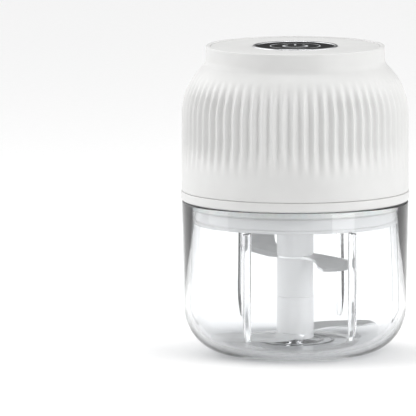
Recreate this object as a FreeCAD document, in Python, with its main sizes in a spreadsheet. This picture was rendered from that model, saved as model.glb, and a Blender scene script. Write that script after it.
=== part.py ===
"""Cordless mini food processor: a clear bowl, a cutter on a spindle, a food baffle and a motor unit on top.

Millimetres, +Z up. The origin is the centre of the bowl's underside, and the front of the object faces -Y.
Every driving dimension is a cell of the sheet. A Size carries a number and its formula in those cells, so
that each sketch, feature and placement is bound to the cells that it depends on.
"""
import FreeCAD, Part
import math
import os
from types import SimpleNamespace

import Sketcher

Vector = FreeCAD.Vector
UP = Vector(0, 0, 1)

# ---------------------------------------------------------------------------------------------------------
# Driving dimensions
# ---------------------------------------------------------------------------------------------------------
DIMENSIONS = {
    # bowl
    "bowl_radius": 41.75,          # outside, at the rim
    "bowl_draft": 0.75,            # how much the wall narrows from the rim to the bottom corner
    "bowl_height": 56.6,
    "bowl_wall": 2.0,
    "bowl_floor": 2.5,
    "bowl_corner": 17.0,           # outside radius of the round bottom corner
    "foot_recess": 0.8,
    "foot_width": 4.0,
    "floor_ring_height": 0.5,
    "floor_ring_width": 1.2,
    "floor_ring_pitch": 4.0,
    "rib_count": 6,
    "rib_depth": 3.3,              # from the wall inwards, at the rim
    "rib_thickness": 2.2,
    "rib_top": 48.2,               # height of the ledge that the baffle stands on
    "rib_phase": 2.8,              # turn of the rib pattern, degrees
    "rib_chamfer": 1.0,
    "boss_radius": 5.5,
    "boss_rise": 1.0,              # boss above the bowl's floor
    # spindle and bush
    "pin_radius": 2.5,
    "pin_length": 21.5,
    "pin_tip": 0.8,
    "running_gap": 0.05,           # radial clearance of every shaft in its bore
    "touch_gap": 0.3,              # between pieces that rest on each other or move past each other
    "bush_wall": 1.05,
    "bush_flange": 1.0,
    "bush_flange_width": 1.4,
    # cutter
    "column_radius": 6.85,
    "column_wall": 2.05,
    "column_step": 0.1,            # the middle sleeve is this much slimmer
    "core_foot": 1.6,
    "blade_thickness": 0.8,
    "blade_grind": 3.0,            # width of the ground bevel
    "blade_root": 1.0,             # wing's root inside the column
    "bend_gap": 0.2,               # column to the line that a wing is bent along
    "blade_clearance": 1.6,        # blade tip to the bowl's round corner
    "lower_blade_lift": 2.0,       # rise of the lower wings at the tip
    "upper_blade_radius": 27.5,
    "upper_blade_height": 33.4,
    "upper_blade_lift": 3.0,
    "upper_blade_drop": 1.0,
    "column_seam": 20.3,           # height of the joint between the lower and middle sleeves
    "core_lap": 2.8,               # core above the upper blade
    "socket_wall": 1.25,
    "socket_depth": 8.6,
    "socket_floor": 2.0,
    "pin_end_gap": 0.6,            # pin's tip to the core's closed end
    "column_gap": 1.0,             # column's top to the motor unit's underside
    # baffle
    "baffle_height": 9.4,
    "baffle_plate": 1.5,
    "baffle_skirt": 1.4,
    "baffle_taper": 0.5,
    "baffle_flange": 1.2,
    "baffle_hole_gap": 0.65,
    "baffle_collar": 1.8,
    "baffle_edge": 0.7,
    "baffle_gap": 0.5,             # baffle inside the spigot
    "baffle_slip": 0.1,            # baffle's flange inside the bowl
    # motor unit, outside
    "lip_height": 3.6,
    "lip_overhang": 0.35,
    "lip_chamfer": 0.8,
    "spigot_depth": 3.2,
    "spigot_wall": 1.2,
    "spigot_gap": 0.5,             # spigot to the bowl's mouth, filled by the seal
    "seal_height": 1.6,
    "seal_groove": 0.6,
    "seal_gap": 0.2,               # seal ring short of the bowl's wall
    "cover_floor": 2.2,
    "housing_overhang": 0.05,      # housing's side beyond the bowl's rim
    "housing_wall": 2.4,
    "total_height": 114.0,
    "edge_break": 0.3,             # small chamfer on a moulded edge
    "ridge_height": 0.9,           # ridge that centres the housing on the cover
    "ridge_gap": 0.15,
    "groove_offset": 0.8,          # seal groove above the spigot's end
    "neck_length": 4.84,           # straight part of the neck, below the top
    "shoulder_radius": 23.5,
    "neck_radius": 33.0,
    "neck_fillet": 4.0,
    "flute_count": 68,
    "flute_phase": -88.4,          # direction of the first flute, degrees
    "flute_radius": 2.2,
    "flute_depth": 0.9,
    "flute_fade": 3.9,             # extra radius of the flute's path over the shoulder
    "flute_runout": 38.6,          # radius in which a flute runs out below
    "flute_straight": 11.0,
    "flute_lower_turn": 14.5,      # degrees
    "flute_upper_turn": 44.0,      # degrees
    "post_radius": 3.6,
    "post_height": 9.6,
    "web_lift": 1.2,               # web's foot above the housing's
    "web_thickness": 2.4,
    "web_root": 0.8,               # web's root inside the wall
    "post_cap": 1.6,               # solid end of a post
    # top panel and button
    "rim_width": 1.6,
    "panel_inset": 0.3,
    "panel_thickness": 1.8,
    "panel_gap": 0.1,
    "ledge_width": 1.8,
    "ledge_thickness": 1.5,
    "ledge_slope": 1.0,
    "button_radius": 14.3,
    "button_gap": 0.25,
    "button_plate": 1.2,
    "button_skirt": 0.4,
    "button_skirt_width": 1.0,
    "button_stem": 3.0,
    "stem_gap": 0.4,
    "button_inset": 0.2,
    "ring_width": 1.2,
    "well_wall": 1.45,
    "well_floor": 1.0,
    "well_depth": 2.6,             # from the panel's face to the well's floor
    "spring_radius": 4.2,          # of its smallest turn
    "spring_wire": 0.6,            # side of the square wire
    "spring_gap": 0.02,
    "spring_turns": 2.5,
    "spring_nesting": 0.15,        # between the turns when they lie flat in each other
    # boards, switch, socket
    "board_thickness": 1.2,
    "board_gap": 2.6,              # motor's end cap to the control board
    "plunger_rise": 0.9,           # plunger above the switch
    "board_radius": 27.0,
    "board_post_circle": 24.0,
    "board_post_radius": 2.4,
    "post_sink": 0.5,              # post's root inside the panel
    "post_hole": 3.0,
    "switch_side": 6.0,
    "switch_height": 2.3,
    "plunger_radius": 1.7,
    "plunger_length": 2.6,
    "plunger_gap": 0.1,
    "plunger_lift": 0.6,           # plunger's foot above its travel's end
    "switch_floor": 0.3,
    "port_width": 9.0,
    "port_height": 3.2,
    "port_length": 7.4,
    "port_shell": 0.4,
    "port_tongue": 0.6,
    "port_tongue_inset": 2.0,
    "port_reach": 0.6,             # socket's mouth inside the housing's wall
    "port_centre": 64.9,
    "cover_width": 12.0,
    "cover_height": 6.0,
    "cover_thickness": 1.2,
    "cover_room": 0.5,             # behind the charging port's cover
    "cover_face_gap": 0.1,         # cover's face below the housing's
    "cover_back_gap": 0.2,
    "port_setback": 1.4,           # charging board to the housing's inner wall
    "charge_board_width": 18.0,
    "charge_board_length": 14.0,
    "charge_post_radius": 2.0,
    "charge_post_place": 0.36,     # share of the board's width
    # drive train
    "gear_module": 0.5,
    "sun_teeth": 15,
    "planet_teeth": 15,
    "ring_teeth": 45,
    "pressure_angle": 25.0,
    "tooth_backlash": 0.1,
    "gear_width": 4.8,
    "ring_rim": 1.6,
    "case_wall": 1.2,
    "carrier_gap": 1.8,            # case floor to the carrier
    "lid_gap": 0.5,                # gears to the lid
    "seal_wall": 2.0,
    "bush_seat_wall": 1.4,
    "case_floor": 2.6,
    "case_flange": 1.5,
    "case_flange_width": 3.8,
    "carrier_thickness": 2.0,
    "planet_pin_radius": 1.0,
    "coupling_radius": 4.2,
    "coupling_flats": 6.0,         # across the flats of the hexagonal drive
    "drive_gap": 0.2,              # each flat of the drive in its socket
    "drive_end_gap": 1.0,          # hexagon's end to the socket's floor
    "lid_thickness": 3.0,
    "lid_boss": 2.2,               # lid's hole round the shaft
    "carrier_rim": 1.0,            # carrier inside the ring gear's pitch circle
    "hub_step": 1.2,
    "motor_radius": 12.2,
    "motor_length": 25.2,
    "motor_wall": 0.8,
    "motor_front": 1.6,
    "motor_cap": 3.0,
    "motor_shaft": 1.0,
    "magnet_thickness": 2.2,
    "armature_gap": 0.8,
    "motor_bush_wall": 1.5,
    "armature_low_gap": 2.2,       # can's front to the armature
    "armature_high_gap": 6.0,
    "magnet_lap": 0.8,             # magnets beyond the armature
    "commutator_wall": 2.0,
    "commutator_gap": 0.8,
    "commutator_end_gap": 0.6,
    "shaft_tail": 0.6,
    "cap_step": 0.2,
    "bush_lap": 1.0,               # front bush below the can
    "armature_slot": 1.4,
    "battery_radius": 9.15,
    "battery_length": 35.0,
    "battery_offset": 25.2,
    "holder_wall": 1.0,
    "holder_gap": 0.1,
    "holder_share": 0.8,           # holder's height over the cell's
    "battery_lift": 2.2,           # cell above the cover
    "tab_radius": 4.0,
    "tab_thickness": 0.3,
    # screws
    "screw_radius": 1.2,
    "screw_head": 2.3,
    "screw_head_height": 1.4,
    "head_gap": 0.1,               # round a sunk screw head
    "head_sink": 0.2,
    "small_screw_radius": 1.0,
    "small_screw_head": 1.9,
    "flange_screw_end": 1.2,
    "board_screw_end": 2.6,
    "case_screw_count": 4,
    "case_screw_length": 8.5,
    "screw_wall": 1.2,             # between a case screw's head and the spigot
}

doc = FreeCAD.newDocument("FoodProcessor")
sheet = doc.addObject("Spreadsheet::Sheet", "Sizes")
for row, (name, number) in enumerate(DIMENSIONS.items(), start=1):
    sheet.set(f"A{row}", name)
    sheet.set(f"B{row}", str(number))
    sheet.setAlias(f"B{row}", name)
doc.recompute()


class Size:
    """A number together with its formula in the sheet's cells."""

    def __init__(self, value, formula=None):
        self.value = float(value)
        self.formula = formula or f"({self.value:.6g})"

    def join(self, sign, other, value):
        return Size(value, f"({self.formula} {sign} {as_size(other).formula})")

    def __add__(self, other):
        return self.join("+", other, self.value + as_size(other).value)

    def __sub__(self, other):
        return self.join("-", other, self.value - as_size(other).value)

    def __mul__(self, other):
        return self.join("*", other, self.value * as_size(other).value)

    def __truediv__(self, other):
        return self.join("/", other, self.value / as_size(other).value)

    def __neg__(self):
        return Size(-self.value, f"(0 - {self.formula})")

    def __radd__(self, other):
        return as_size(other) + self

    def __rsub__(self, other):
        return as_size(other) - self

    def __rmul__(self, other):
        return as_size(other) * self


def as_size(number):
    return number if isinstance(number, Size) else Size(number)


def root(size):
    return Size(math.sqrt(size.value), f"sqrt({size.formula})")


def leg(hypotenuse, side):
    """The other leg of a right triangle."""
    return root(hypotenuse * hypotenuse - side * side)


def sine(degrees):
    return Size(math.sin(math.radians(degrees.value)), f"sin({degrees.formula} * 1 deg)")


def cosine(degrees):
    return Size(math.cos(math.radians(degrees.value)), f"cos({degrees.formula} * 1 deg)")


D = SimpleNamespace(**{name: Size(sheet.get(name), f"Sizes.{name}") for name in DIMENSIONS})
ZERO = Size(0)
OVERSHOOT = Size(1)  # how far a cutting shape starts outside what it cuts

# ---------------------------------------------------------------------------------------------------------
# Building blocks
# ---------------------------------------------------------------------------------------------------------
pieces = []


def bind(thing, path, size):
    """Set a property from a Size and bind it to the Size's formula."""
    thing.setExpression(path, as_size(size).formula)


def new_body(label):
    body = doc.addObject("PartDesign::Body", label)
    body.Label = label
    pieces.append(body)
    return body


def plane_of(body, role):
    return next(item for item in body.Origin.OriginFeatures if item.Role == role)


def place(thing, x=0, y=0, z=0, turn=0):
    """Bind a piece's place, with a turn about its own upright axis in degrees."""
    thing.Placement = FreeCAD.Placement(Vector(0, 0, 0), FreeCAD.Rotation(UP, as_size(turn).value))
    for axis, size in zip("xyz", (x, y, z)):
        bind(thing, f"Placement.Base.{axis}", size)
    bind(thing, "Placement.Rotation.Angle", turn)
    return thing


def new_sketch(body, role="XZ_Plane", level=0):
    sketch = body.newObject("Sketcher::SketchObject", body.Label + "_sketch")
    sketch.AttachmentSupport = [(plane_of(body, role), "")]
    sketch.MapMode = "FlatFace"
    bind(sketch, "AttachmentOffset.Base.z", level)
    return sketch


def arc_between(start, end, radius, clockwise):
    """Sketch arc from start to end, and the numbers of its start and end points."""
    if clockwise:
        start, end = end, start
    chord = end - start
    half = chord.Length / 2
    side = Vector(-chord.y, chord.x, 0).normalize()
    centre = start + chord * 0.5 + side * math.sqrt(max(radius * radius - half * half, 0))
    angles = [math.atan2(p.y - centre.y, p.x - centre.x) for p in (start, end)]
    arc = Part.ArcOfCircle(Part.Circle(centre, UP, radius), *angles)
    return arc, ((2, 1) if clockwise else (1, 2))


def draw(sketch, points):
    """Closed outline. A point is (x, y), or (x, y, radius, turn) when an arc arrives at it.

    The turn is "ccw" or "cw". Every corner is held by its two distances from the sketch's origin.
    """
    corners = [Vector(as_size(p[0]).value, as_size(p[1]).value, 0) for p in points]
    ends = []
    first = sketch.GeometryCount
    for index, point in enumerate(points):
        start, end = corners[index - 1], corners[index]
        if len(point) == 4:
            arc, numbers = arc_between(start, end, as_size(point[2]).value, point[3] == "cw")
            sketch.addGeometry(arc, False)
        else:
            sketch.addGeometry(Part.LineSegment(start, end), False)
            numbers = (1, 2)
        ends.append(numbers)
    for index, point in enumerate(points):
        following = (index + 1) % len(points)
        here = (first + index, ends[index][1])
        there = (first + following, ends[following][0])
        sketch.addConstraint(Sketcher.Constraint("Coincident", *here, *there))
        for kind, size in zip(("DistanceX", "DistanceY"), point[:2]):
            number = sketch.addConstraint(
                Sketcher.Constraint(kind, -1, 1, *here, as_size(size).value))
            bind(sketch, f"Constraints[{number}]", size)
        if len(point) == 4:
            number = sketch.addConstraint(
                Sketcher.Constraint("Radius", first + index, as_size(point[2]).value))
            bind(sketch, f"Constraints[{number}]", point[2])
    return sketch


def circle(sketch, radius, x=0, y=0):
    x, y, radius = as_size(x), as_size(y), as_size(radius)
    number = sketch.addGeometry(Part.Circle(Vector(x.value, y.value, 0), UP, radius.value), False)
    for kind, size in (("DistanceX", x), ("DistanceY", y)):
        index = sketch.addConstraint(Sketcher.Constraint(kind, -1, 1, number, 3, size.value))
        bind(sketch, f"Constraints[{index}]", size)
    index = sketch.addConstraint(Sketcher.Constraint("Radius", number, radius.value))
    bind(sketch, f"Constraints[{index}]", radius)
    return sketch


def rectangle(sketch, width, height, x=0, y=0):
    left, right = x - width * 0.5, x + width * 0.5
    low, high = y - height * 0.5, y + height * 0.5
    return draw(sketch, [(left, low), (right, low), (right, high), (left, high)])


def feature(body, kind, sketch, **settings):
    item = body.newObject(f"PartDesign::{kind}", f"{body.Label}_{kind}")
    item.Profile = sketch
    for key, value in settings.items():
        if isinstance(value, Size):
            bind(item, key, value)
        else:
            setattr(item, key, value)
    return item


def revolved(label, points):
    """A round piece from its half section, given as (radius, height) corners."""
    body = new_body(label)
    sketch = draw(new_sketch(body), points)
    feature(body, "Revolution", sketch, ReferenceAxis=(sketch, ["V_Axis"]), Angle=360)
    return body


def tube(label, inner, outer, low, high):
    return revolved(label, [(inner, low), (outer, low), (outer, high), (inner, high)])


def pad(body, sketch, length, **settings):
    return feature(body, "Pad", sketch, Length=as_size(length), **settings)


def pocket(body, sketch, length, **settings):
    """A cut downwards from the sketch's plane."""
    return feature(body, "Pocket", sketch, Length=as_size(length), **settings)


def ring_of(body, item, count, angle=360):
    """Repeat a feature round the body's upright axis."""
    pattern = body.newObject("PartDesign::PolarPattern", f"{item.Name}_ring")
    pattern.Originals = [item]
    pattern.Axis = (plane_of(body, "Z_Axis"), [""])
    pattern.Angle = angle
    bind(pattern, "Occurrences", count)
    body.Tip = pattern
    return pattern


def placed_shape(label, shape, turn=0, z=0):
    """A piece whose form no feature draws. Its shape comes first and its placement second."""
    item = doc.addObject("Part::Feature", label)
    item.Label = label
    item.Shape = shape
    place(item, z=z, turn=turn)
    pieces.append(item)
    return item


def polar(radius, degrees, height=0.0):
    angle = math.radians(degrees)
    return Vector(radius * math.cos(angle), radius * math.sin(angle), height)


# ---------------------------------------------------------------------------------------------------------
# Heights and radii that several pieces share
# ---------------------------------------------------------------------------------------------------------
mouth_radius = D.bowl_radius - D.bowl_wall
corner_inner = D.bowl_corner - D.bowl_wall
corner_centre = D.bowl_radius - D.bowl_draft - D.bowl_corner
corner_level = D.bowl_floor + corner_inner
boss_top = D.bowl_floor + D.boss_rise
bore_radius = D.pin_radius + D.running_gap
bush_radius = bore_radius + D.bush_wall
core_bore = bush_radius + D.running_gap
core_bottom = boss_top + D.touch_gap
pin_top = boss_top + D.pin_length
lower_blade_bottom = core_bottom + D.core_foot
lower_blade_top = lower_blade_bottom + D.blade_thickness
upper_blade_top = D.upper_blade_height + D.blade_thickness
core_radius = D.column_radius - D.column_wall
core_top = upper_blade_top + D.core_lap
baffle_bottom = D.rib_top + D.touch_gap
baffle_top = baffle_bottom + D.baffle_height
cover_underside = baffle_top + D.touch_gap
cover_top = cover_underside + D.cover_floor
column_top = cover_underside - D.column_gap
lip_bottom = D.bowl_height + D.touch_gap
housing_bottom = lip_bottom + D.lip_height
housing_radius = D.bowl_radius + D.housing_overhang
housing_inner = housing_radius - D.housing_wall
shoulder_centre = housing_radius - D.shoulder_radius
neck_across = D.neck_radius + D.neck_fillet - shoulder_centre
neck_rise = leg(D.shoulder_radius + D.neck_fillet, neck_across)
neck_level = D.total_height - D.neck_length
shoulder_height = neck_level - neck_rise
inner_shoulder = D.shoulder_radius - D.housing_wall
neck_inner = D.neck_radius - D.housing_wall
panel_top = D.total_height - D.panel_inset
panel_bottom = panel_top - D.panel_thickness
panel_radius = D.neck_radius - D.rim_width - D.panel_gap
spigot_outer = mouth_radius - D.spigot_gap
spigot_inner = spigot_outer - D.spigot_wall
planet_circle = (D.sun_teeth + D.planet_teeth) * D.gear_module * 0.5
ring_outer = D.ring_teeth * D.gear_module * 0.5 + D.gear_module + D.ring_rim
case_top_floor = cover_top + D.case_floor
carrier_bottom = case_top_floor + D.carrier_gap
gear_bottom = carrier_bottom + D.carrier_thickness + D.touch_gap
gear_top = gear_bottom + D.gear_width
lid_bottom = gear_top + D.lid_gap
lid_top = lid_bottom + D.lid_thickness
motor_top = lid_top + D.motor_length
board_bottom = motor_top + D.motor_cap + D.board_gap
board_top = board_bottom + D.board_thickness
button_top = D.total_height - D.button_inset
button_underside = button_top - D.button_plate
plunger_top = board_top + D.switch_height + D.plunger_rise
well_bottom = panel_top - D.well_depth - D.well_floor
well_top = panel_top - D.well_depth
button_ring_inner = D.button_radius + D.button_gap
button_ring_outer = button_ring_inner + D.ring_width
well_radius = button_ring_outer + D.well_wall
hexagon_socket = D.coupling_flats + D.drive_gap * 2
recess_floor = housing_radius - D.cover_thickness - D.cover_room
seal_outer = D.coupling_radius + D.seal_wall
bush_seat = D.coupling_radius + D.bush_seat_wall
case_screw_circle = spigot_inner - D.screw_head - D.screw_wall
flange_screw_circle = ring_outer + D.case_wall + D.small_screw_head
motor_screw_circle = D.motor_radius * 0.65
charge_board_bottom = D.port_centre - D.port_height * 0.5 - D.board_thickness
charge_board_centre = housing_inner - D.port_setback - D.charge_board_length * 0.5


# ---------------------------------------------------------------------------------------------------------
# Bowl, spindle pin and bush
# ---------------------------------------------------------------------------------------------------------
def make_bowl():
    """Clear tapered bowl with a round bottom corner, inner ribs, floor rings and a boss for the pin."""
    body = new_body("bowl")
    foot_inner = corner_centre - D.foot_width
    ring_top = D.bowl_floor + D.floor_ring_height
    rings = []
    for number in (2, 1):
        inner = D.boss_radius + D.floor_ring_pitch * number
        outer = inner + D.floor_ring_width
        rings += [(outer, D.bowl_floor), (outer, ring_top), (inner, ring_top), (inner, D.bowl_floor)]
    section = new_sketch(body)
    draw(section, [
        (D.pin_radius, D.foot_recess), (foot_inner, D.foot_recess), (foot_inner, ZERO),
        (corner_centre, ZERO),
        (corner_centre + D.bowl_corner, D.bowl_corner, D.bowl_corner, "ccw"),
        (D.bowl_radius, D.bowl_height), (mouth_radius, D.bowl_height),
        (corner_centre + corner_inner, corner_level),
        (corner_centre, D.bowl_floor, corner_inner, "cw"),
        *rings,
        (D.boss_radius, D.bowl_floor), (D.boss_radius, boss_top), (D.pin_radius, boss_top),
    ])
    feature(body, "Revolution", section, ReferenceAxis=(section, ["V_Axis"]), Angle=360)
    rib_inner = mouth_radius - D.rib_depth
    rib_outer = corner_centre + corner_inner + D.bowl_wall * 0.5
    rib_foot = corner_level - D.bowl_wall * 0.5 - leg(corner_inner, rib_inner - corner_centre)
    rib = new_sketch(body)
    draw(rib, [
        (rib_inner, rib_foot), (rib_outer, corner_level - D.bowl_wall), (rib_outer, D.rib_top),
        (rib_inner + D.rib_chamfer, D.rib_top), (rib_inner, D.rib_top - D.rib_chamfer),
    ])
    blade = pad(body, rib, D.rib_thickness, Midplane=True)
    ring_of(body, blade, D.rib_count)
    place(body, turn=D.rib_phase)


def make_spindle():
    """Steel pin moulded into the bowl's boss, and the bush that turns on it."""
    revolved("spindle_pin", [
        (ZERO, D.foot_recess), (D.pin_radius, D.foot_recess), (D.pin_radius, pin_top - D.pin_tip),
        (D.pin_radius - D.pin_tip, pin_top), (ZERO, pin_top),
    ])
    flange = bush_radius + D.bush_flange_width
    flange_top = core_bottom + D.bush_flange
    revolved("spindle_bush", [
        (bore_radius, core_bottom), (flange, core_bottom), (flange, flange_top),
        (bush_radius, flange_top), (bush_radius, pin_top - D.pin_tip), (bore_radius, pin_top - D.pin_tip),
    ])


# ---------------------------------------------------------------------------------------------------------
# Cutter
# ---------------------------------------------------------------------------------------------------------
def make_column():
    """Core tube that carries two blades between three sleeves, with the drive socket in its top."""
    counterbore = bush_radius + D.bush_flange_width + D.touch_gap
    counterbore_top = core_bottom + D.bush_flange + D.touch_gap
    revolved("column_core", [
        (counterbore, core_bottom), (D.column_radius, core_bottom),
        (D.column_radius, lower_blade_bottom), (core_radius, lower_blade_bottom),
        (core_radius, core_top), (ZERO, core_top), (ZERO, pin_top + D.pin_end_gap),
        (core_bore, pin_top + D.pin_end_gap), (core_bore, counterbore_top), (counterbore, counterbore_top),
    ])
    tube("column_lower", core_radius, D.column_radius, lower_blade_top, D.column_seam)
    tube("column_middle", core_radius, D.column_radius - D.column_step, D.column_seam,
         D.upper_blade_height)
    cup = D.column_radius - D.socket_wall
    cup_floor = column_top - D.socket_depth - D.socket_floor
    revolved("column_upper", [
        (core_radius, upper_blade_top), (D.column_radius, upper_blade_top),
        (D.column_radius, column_top - D.edge_break), (D.column_radius - D.edge_break, column_top),
        (cup, column_top),
        (cup, cup_floor), (ZERO, cup_floor), (ZERO, core_top), (core_radius, core_top),
    ])
    socket = new_body("drive_socket")
    pad(socket, circle(new_sketch(socket, "XY_Plane", cup_floor), cup), D.socket_depth + D.socket_floor)
    outline = hexagon(new_sketch(socket, "XY_Plane", column_top), hexagon_socket)
    pocket(socket, outline, D.socket_depth)


def hexagon(sketch, flats):
    """Hexagon with two flats facing left and right."""
    side = flats / root(Size(3))
    half = flats * 0.5
    return draw(sketch, [
        (half, -(side * 0.5)), (half, side * 0.5), (ZERO, side), (-half, side * 0.5),
        (-half, -(side * 0.5)), (ZERO, -side),
    ])


# The wing's two edges: how far out each point is (0 at the column, 1 at the tip) and its direction.
CONVEX_EDGE = ((0.0, 0.0), (0.36, -90.0), (0.70, -104.5), (0.86, -122.0), (0.98, -134.0), (1.0, -157.9))
CONCAVE_EDGE = ((0.79, -159.0), (0.56, -153.7), (0.32, -147.0), (0.0, -180.0))
WING_TURN = 35.0  # brings the wing's middle square to the line that it is bent along
TIP_GRIND = 0.4   # share of the grind's width that is left at the tip


def wing_point(share, degrees, tip_radius):
    reach = core_radius.value + D.blade_root.value
    return polar(reach + (tip_radius - reach) * share, degrees)


def wing(tip_radius, rise, thickness, grind):
    """One scimitar wing with a ground outer edge, bent up or down along a line just outside the column."""
    convex = [wing_point(*point, tip_radius) for point in CONVEX_EDGE]
    concave = [wing_point(*point, tip_radius) for point in CONCAVE_EDGE]
    ground = [convex[0]]
    for index, point in enumerate(convex[1:], start=1):
        inwards = concave[max(len(concave) - 1 - index, 0)] - point
        ground.append(point + inwards.normalize() * grind * (1.0 if index < len(convex) - 1 else TIP_GRIND))

    def outline(edge, height):
        lift = Vector(0, 0, height)
        outer = Part.BSplineCurve()
        outer.interpolate([point + lift for point in edge])
        inner = Part.BSplineCurve()
        inner.interpolate([point + lift for point in concave])
        return Part.Wire([
            outer.toShape(),
            Part.LineSegment(edge[-1] + lift, concave[0] + lift).toShape(),
            inner.toShape(),
            Part.LineSegment(concave[-1] + lift, edge[0] + lift).toShape(),
        ])

    def turned(shape, degrees):
        return shape.rotated(Vector(0, 0, 0), UP, degrees)

    flat = turned(Part.makeLoft([outline(convex, 0), outline(ground, thickness)], True, True), WING_TURN)
    bend = D.column_radius.value + D.bend_gap.value
    far = tip_radius * 3
    outside = Part.makeBox(far * 2, far, far, Vector(-far, -far - bend, -far / 2))
    angle = math.degrees(math.atan2(rise, tip_radius - bend))
    fold = Vector(0, -bend, thickness if rise < 0 else 0)
    folded = flat.common(outside).rotated(fold, Vector(1, 0, 0), -angle)
    return turned(flat.cut(outside).fuse(folded), -WING_TURN)


def make_blade(label, tip_radius, rises, bottom, turn):
    """Steel blade: a disc clamped between two sleeves and two wings, one for each rise."""
    thickness = D.blade_thickness.value
    blade = Part.makeCylinder(D.column_radius.value, thickness)
    for number, rise in enumerate(rises):
        blade = blade.fuse(wing(tip_radius, rise, thickness, D.blade_grind.value).rotated(
            Vector(0, 0, 0), UP, 180 * number))
    blade = blade.cut(Part.makeCylinder(core_radius.value, thickness * 4, Vector(0, 0, -thickness)))
    placed_shape(label, blade.removeSplitter(), turn, bottom)


def make_blades():
    tip_level = lower_blade_bottom.value + D.lower_blade_lift.value
    drop = corner_level.value - tip_level
    wall_there = corner_centre.value + math.sqrt(corner_inner.value ** 2 - drop ** 2)
    lift = D.lower_blade_lift.value
    make_blade("lower_blade", wall_there - D.blade_clearance.value, (lift, lift), lower_blade_bottom, 0)
    make_blade("upper_blade", D.upper_blade_radius.value,
               (D.upper_blade_lift.value, -D.upper_blade_drop.value), D.upper_blade_height, -90)


# ---------------------------------------------------------------------------------------------------------
# Food baffle
# ---------------------------------------------------------------------------------------------------------
def make_baffle():
    """White cap with a flared skirt: it stands on the bowl's ribs and keeps food off the motor unit."""
    hole = D.column_radius + D.baffle_hole_gap
    top = spigot_inner - D.baffle_gap
    edge = top + D.baffle_taper
    flange = corner_centre + corner_inner - D.baffle_slip
    flange_top = baffle_bottom + D.baffle_flange
    underside = baffle_top - D.baffle_plate
    revolved("food_baffle", [
        (hole, underside - D.baffle_collar), (hole + D.baffle_skirt, underside - D.baffle_collar),
        (hole + D.baffle_skirt, underside), (top - D.baffle_skirt, underside),
        (edge - D.baffle_skirt, baffle_bottom), (flange, baffle_bottom), (flange, flange_top),
        (edge, flange_top), (top, baffle_top - D.baffle_edge),
        (top - D.baffle_edge, baffle_top, D.baffle_edge, "ccw"), (hole, baffle_top),
    ])


# ---------------------------------------------------------------------------------------------------------
# Motor unit: cover, seal, housing and top
# ---------------------------------------------------------------------------------------------------------
def make_base_cover():
    """Underside of the motor unit: overhanging lip, spigot with a seal groove, and the drive's bore."""
    body = new_body("base_cover")
    overhang = D.bowl_radius + D.lip_overhang
    spigot_bottom = lip_bottom - D.spigot_depth
    groove_low = spigot_bottom + D.groove_offset
    groove_high = groove_low + D.seal_height
    groove = spigot_outer - D.seal_groove
    ridge = housing_inner - D.ridge_gap
    ridge_inner = ridge - D.ridge_height
    ridge_top = housing_bottom + D.ridge_height
    section = new_sketch(body)
    draw(section, [
        (seal_outer, cover_underside), (spigot_inner, cover_underside), (spigot_inner, spigot_bottom),
        (spigot_outer, spigot_bottom), (spigot_outer, groove_low), (groove, groove_low),
        (groove, groove_high), (spigot_outer, groove_high), (spigot_outer, lip_bottom),
        (overhang - D.lip_chamfer, lip_bottom), (overhang, lip_bottom + D.lip_chamfer),
        (overhang, housing_bottom - D.edge_break), (overhang - D.edge_break, housing_bottom),
        (ridge, housing_bottom), (ridge, ridge_top), (ridge_inner, ridge_top), (ridge_inner, cover_top),
        (seal_outer, cover_top),
    ])
    feature(body, "Revolution", section, ReferenceAxis=(section, ["V_Axis"]), Angle=360)
    head = new_sketch(body, "XY_Plane", cover_underside + D.screw_head_height + D.head_gap)
    circle(head, D.screw_head + D.head_gap, *at_angle(case_screw_circle, 45))
    head_pocket = pocket(body, head, D.screw_head_height * 2)
    ring_of(body, head_pocket, D.case_screw_count)
    shank = new_sketch(body, "XY_Plane", cover_top + OVERSHOOT)
    circle(shank, D.screw_radius, *at_angle(case_screw_circle, 45))
    shank_pocket = pocket(body, shank, D.cover_floor * 2)
    ring_of(body, shank_pocket, D.case_screw_count)
    pilot = new_sketch(body, "XY_Plane", cover_top)
    circle(pilot, D.small_screw_radius, *at_angle(flange_screw_circle, 90))
    pilot_pocket = pocket(body, pilot, D.cover_floor * 0.7)
    ring_of(body, pilot_pocket, Size(3))
    posts = new_sketch(body, "XY_Plane", cover_top)
    post_place = D.charge_board_width * D.charge_post_place
    for side in (-1, 1):
        circle(posts, D.charge_post_radius, post_place * side, charge_board_centre)
    pad(body, posts, charge_board_bottom - cover_top)


def make_seal_ring():
    low = lip_bottom - D.spigot_depth + D.groove_offset
    tube("seal_ring", spigot_outer - D.seal_groove, mouth_radius - D.seal_gap, low, low + D.seal_height)


def make_housing():
    """White shell with a narrow neck and a band of vertical flutes that fade out at both ends."""
    body = new_body("motor_housing")
    share = D.shoulder_radius / (D.shoulder_radius + D.neck_fillet)
    meet_r = shoulder_centre + neck_across * share
    meet_z = shoulder_height + neck_rise * share
    inner_neck = shoulder_height + leg(inner_shoulder, neck_inner - shoulder_centre)
    rim_inner = D.neck_radius - D.rim_width
    ledge = rim_inner - D.ledge_width
    ledge_bottom = panel_bottom - D.ledge_thickness
    section = new_sketch(body)
    draw(section, [
        (housing_inner, housing_bottom), (housing_radius - D.edge_break, housing_bottom),
        (housing_radius, housing_bottom + D.edge_break), (housing_radius, shoulder_height),
        (meet_r, meet_z, D.shoulder_radius, "ccw"), (D.neck_radius, neck_level, D.neck_fillet, "cw"),
        (D.neck_radius, D.total_height - D.edge_break), (D.neck_radius - D.edge_break, D.total_height),
        (rim_inner, D.total_height), (rim_inner, panel_bottom), (ledge, panel_bottom),
        (ledge, ledge_bottom), (neck_inner, ledge_bottom - D.ledge_slope), (neck_inner, inner_neck),
        (housing_inner, shoulder_height, inner_shoulder, "cw"),
    ])
    feature(body, "Revolution", section, ReferenceAxis=(section, ["V_Axis"]), Angle=360)
    make_flutes(body)
    add_housing_details(body)
    place(body, turn=D.flute_phase)


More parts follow.
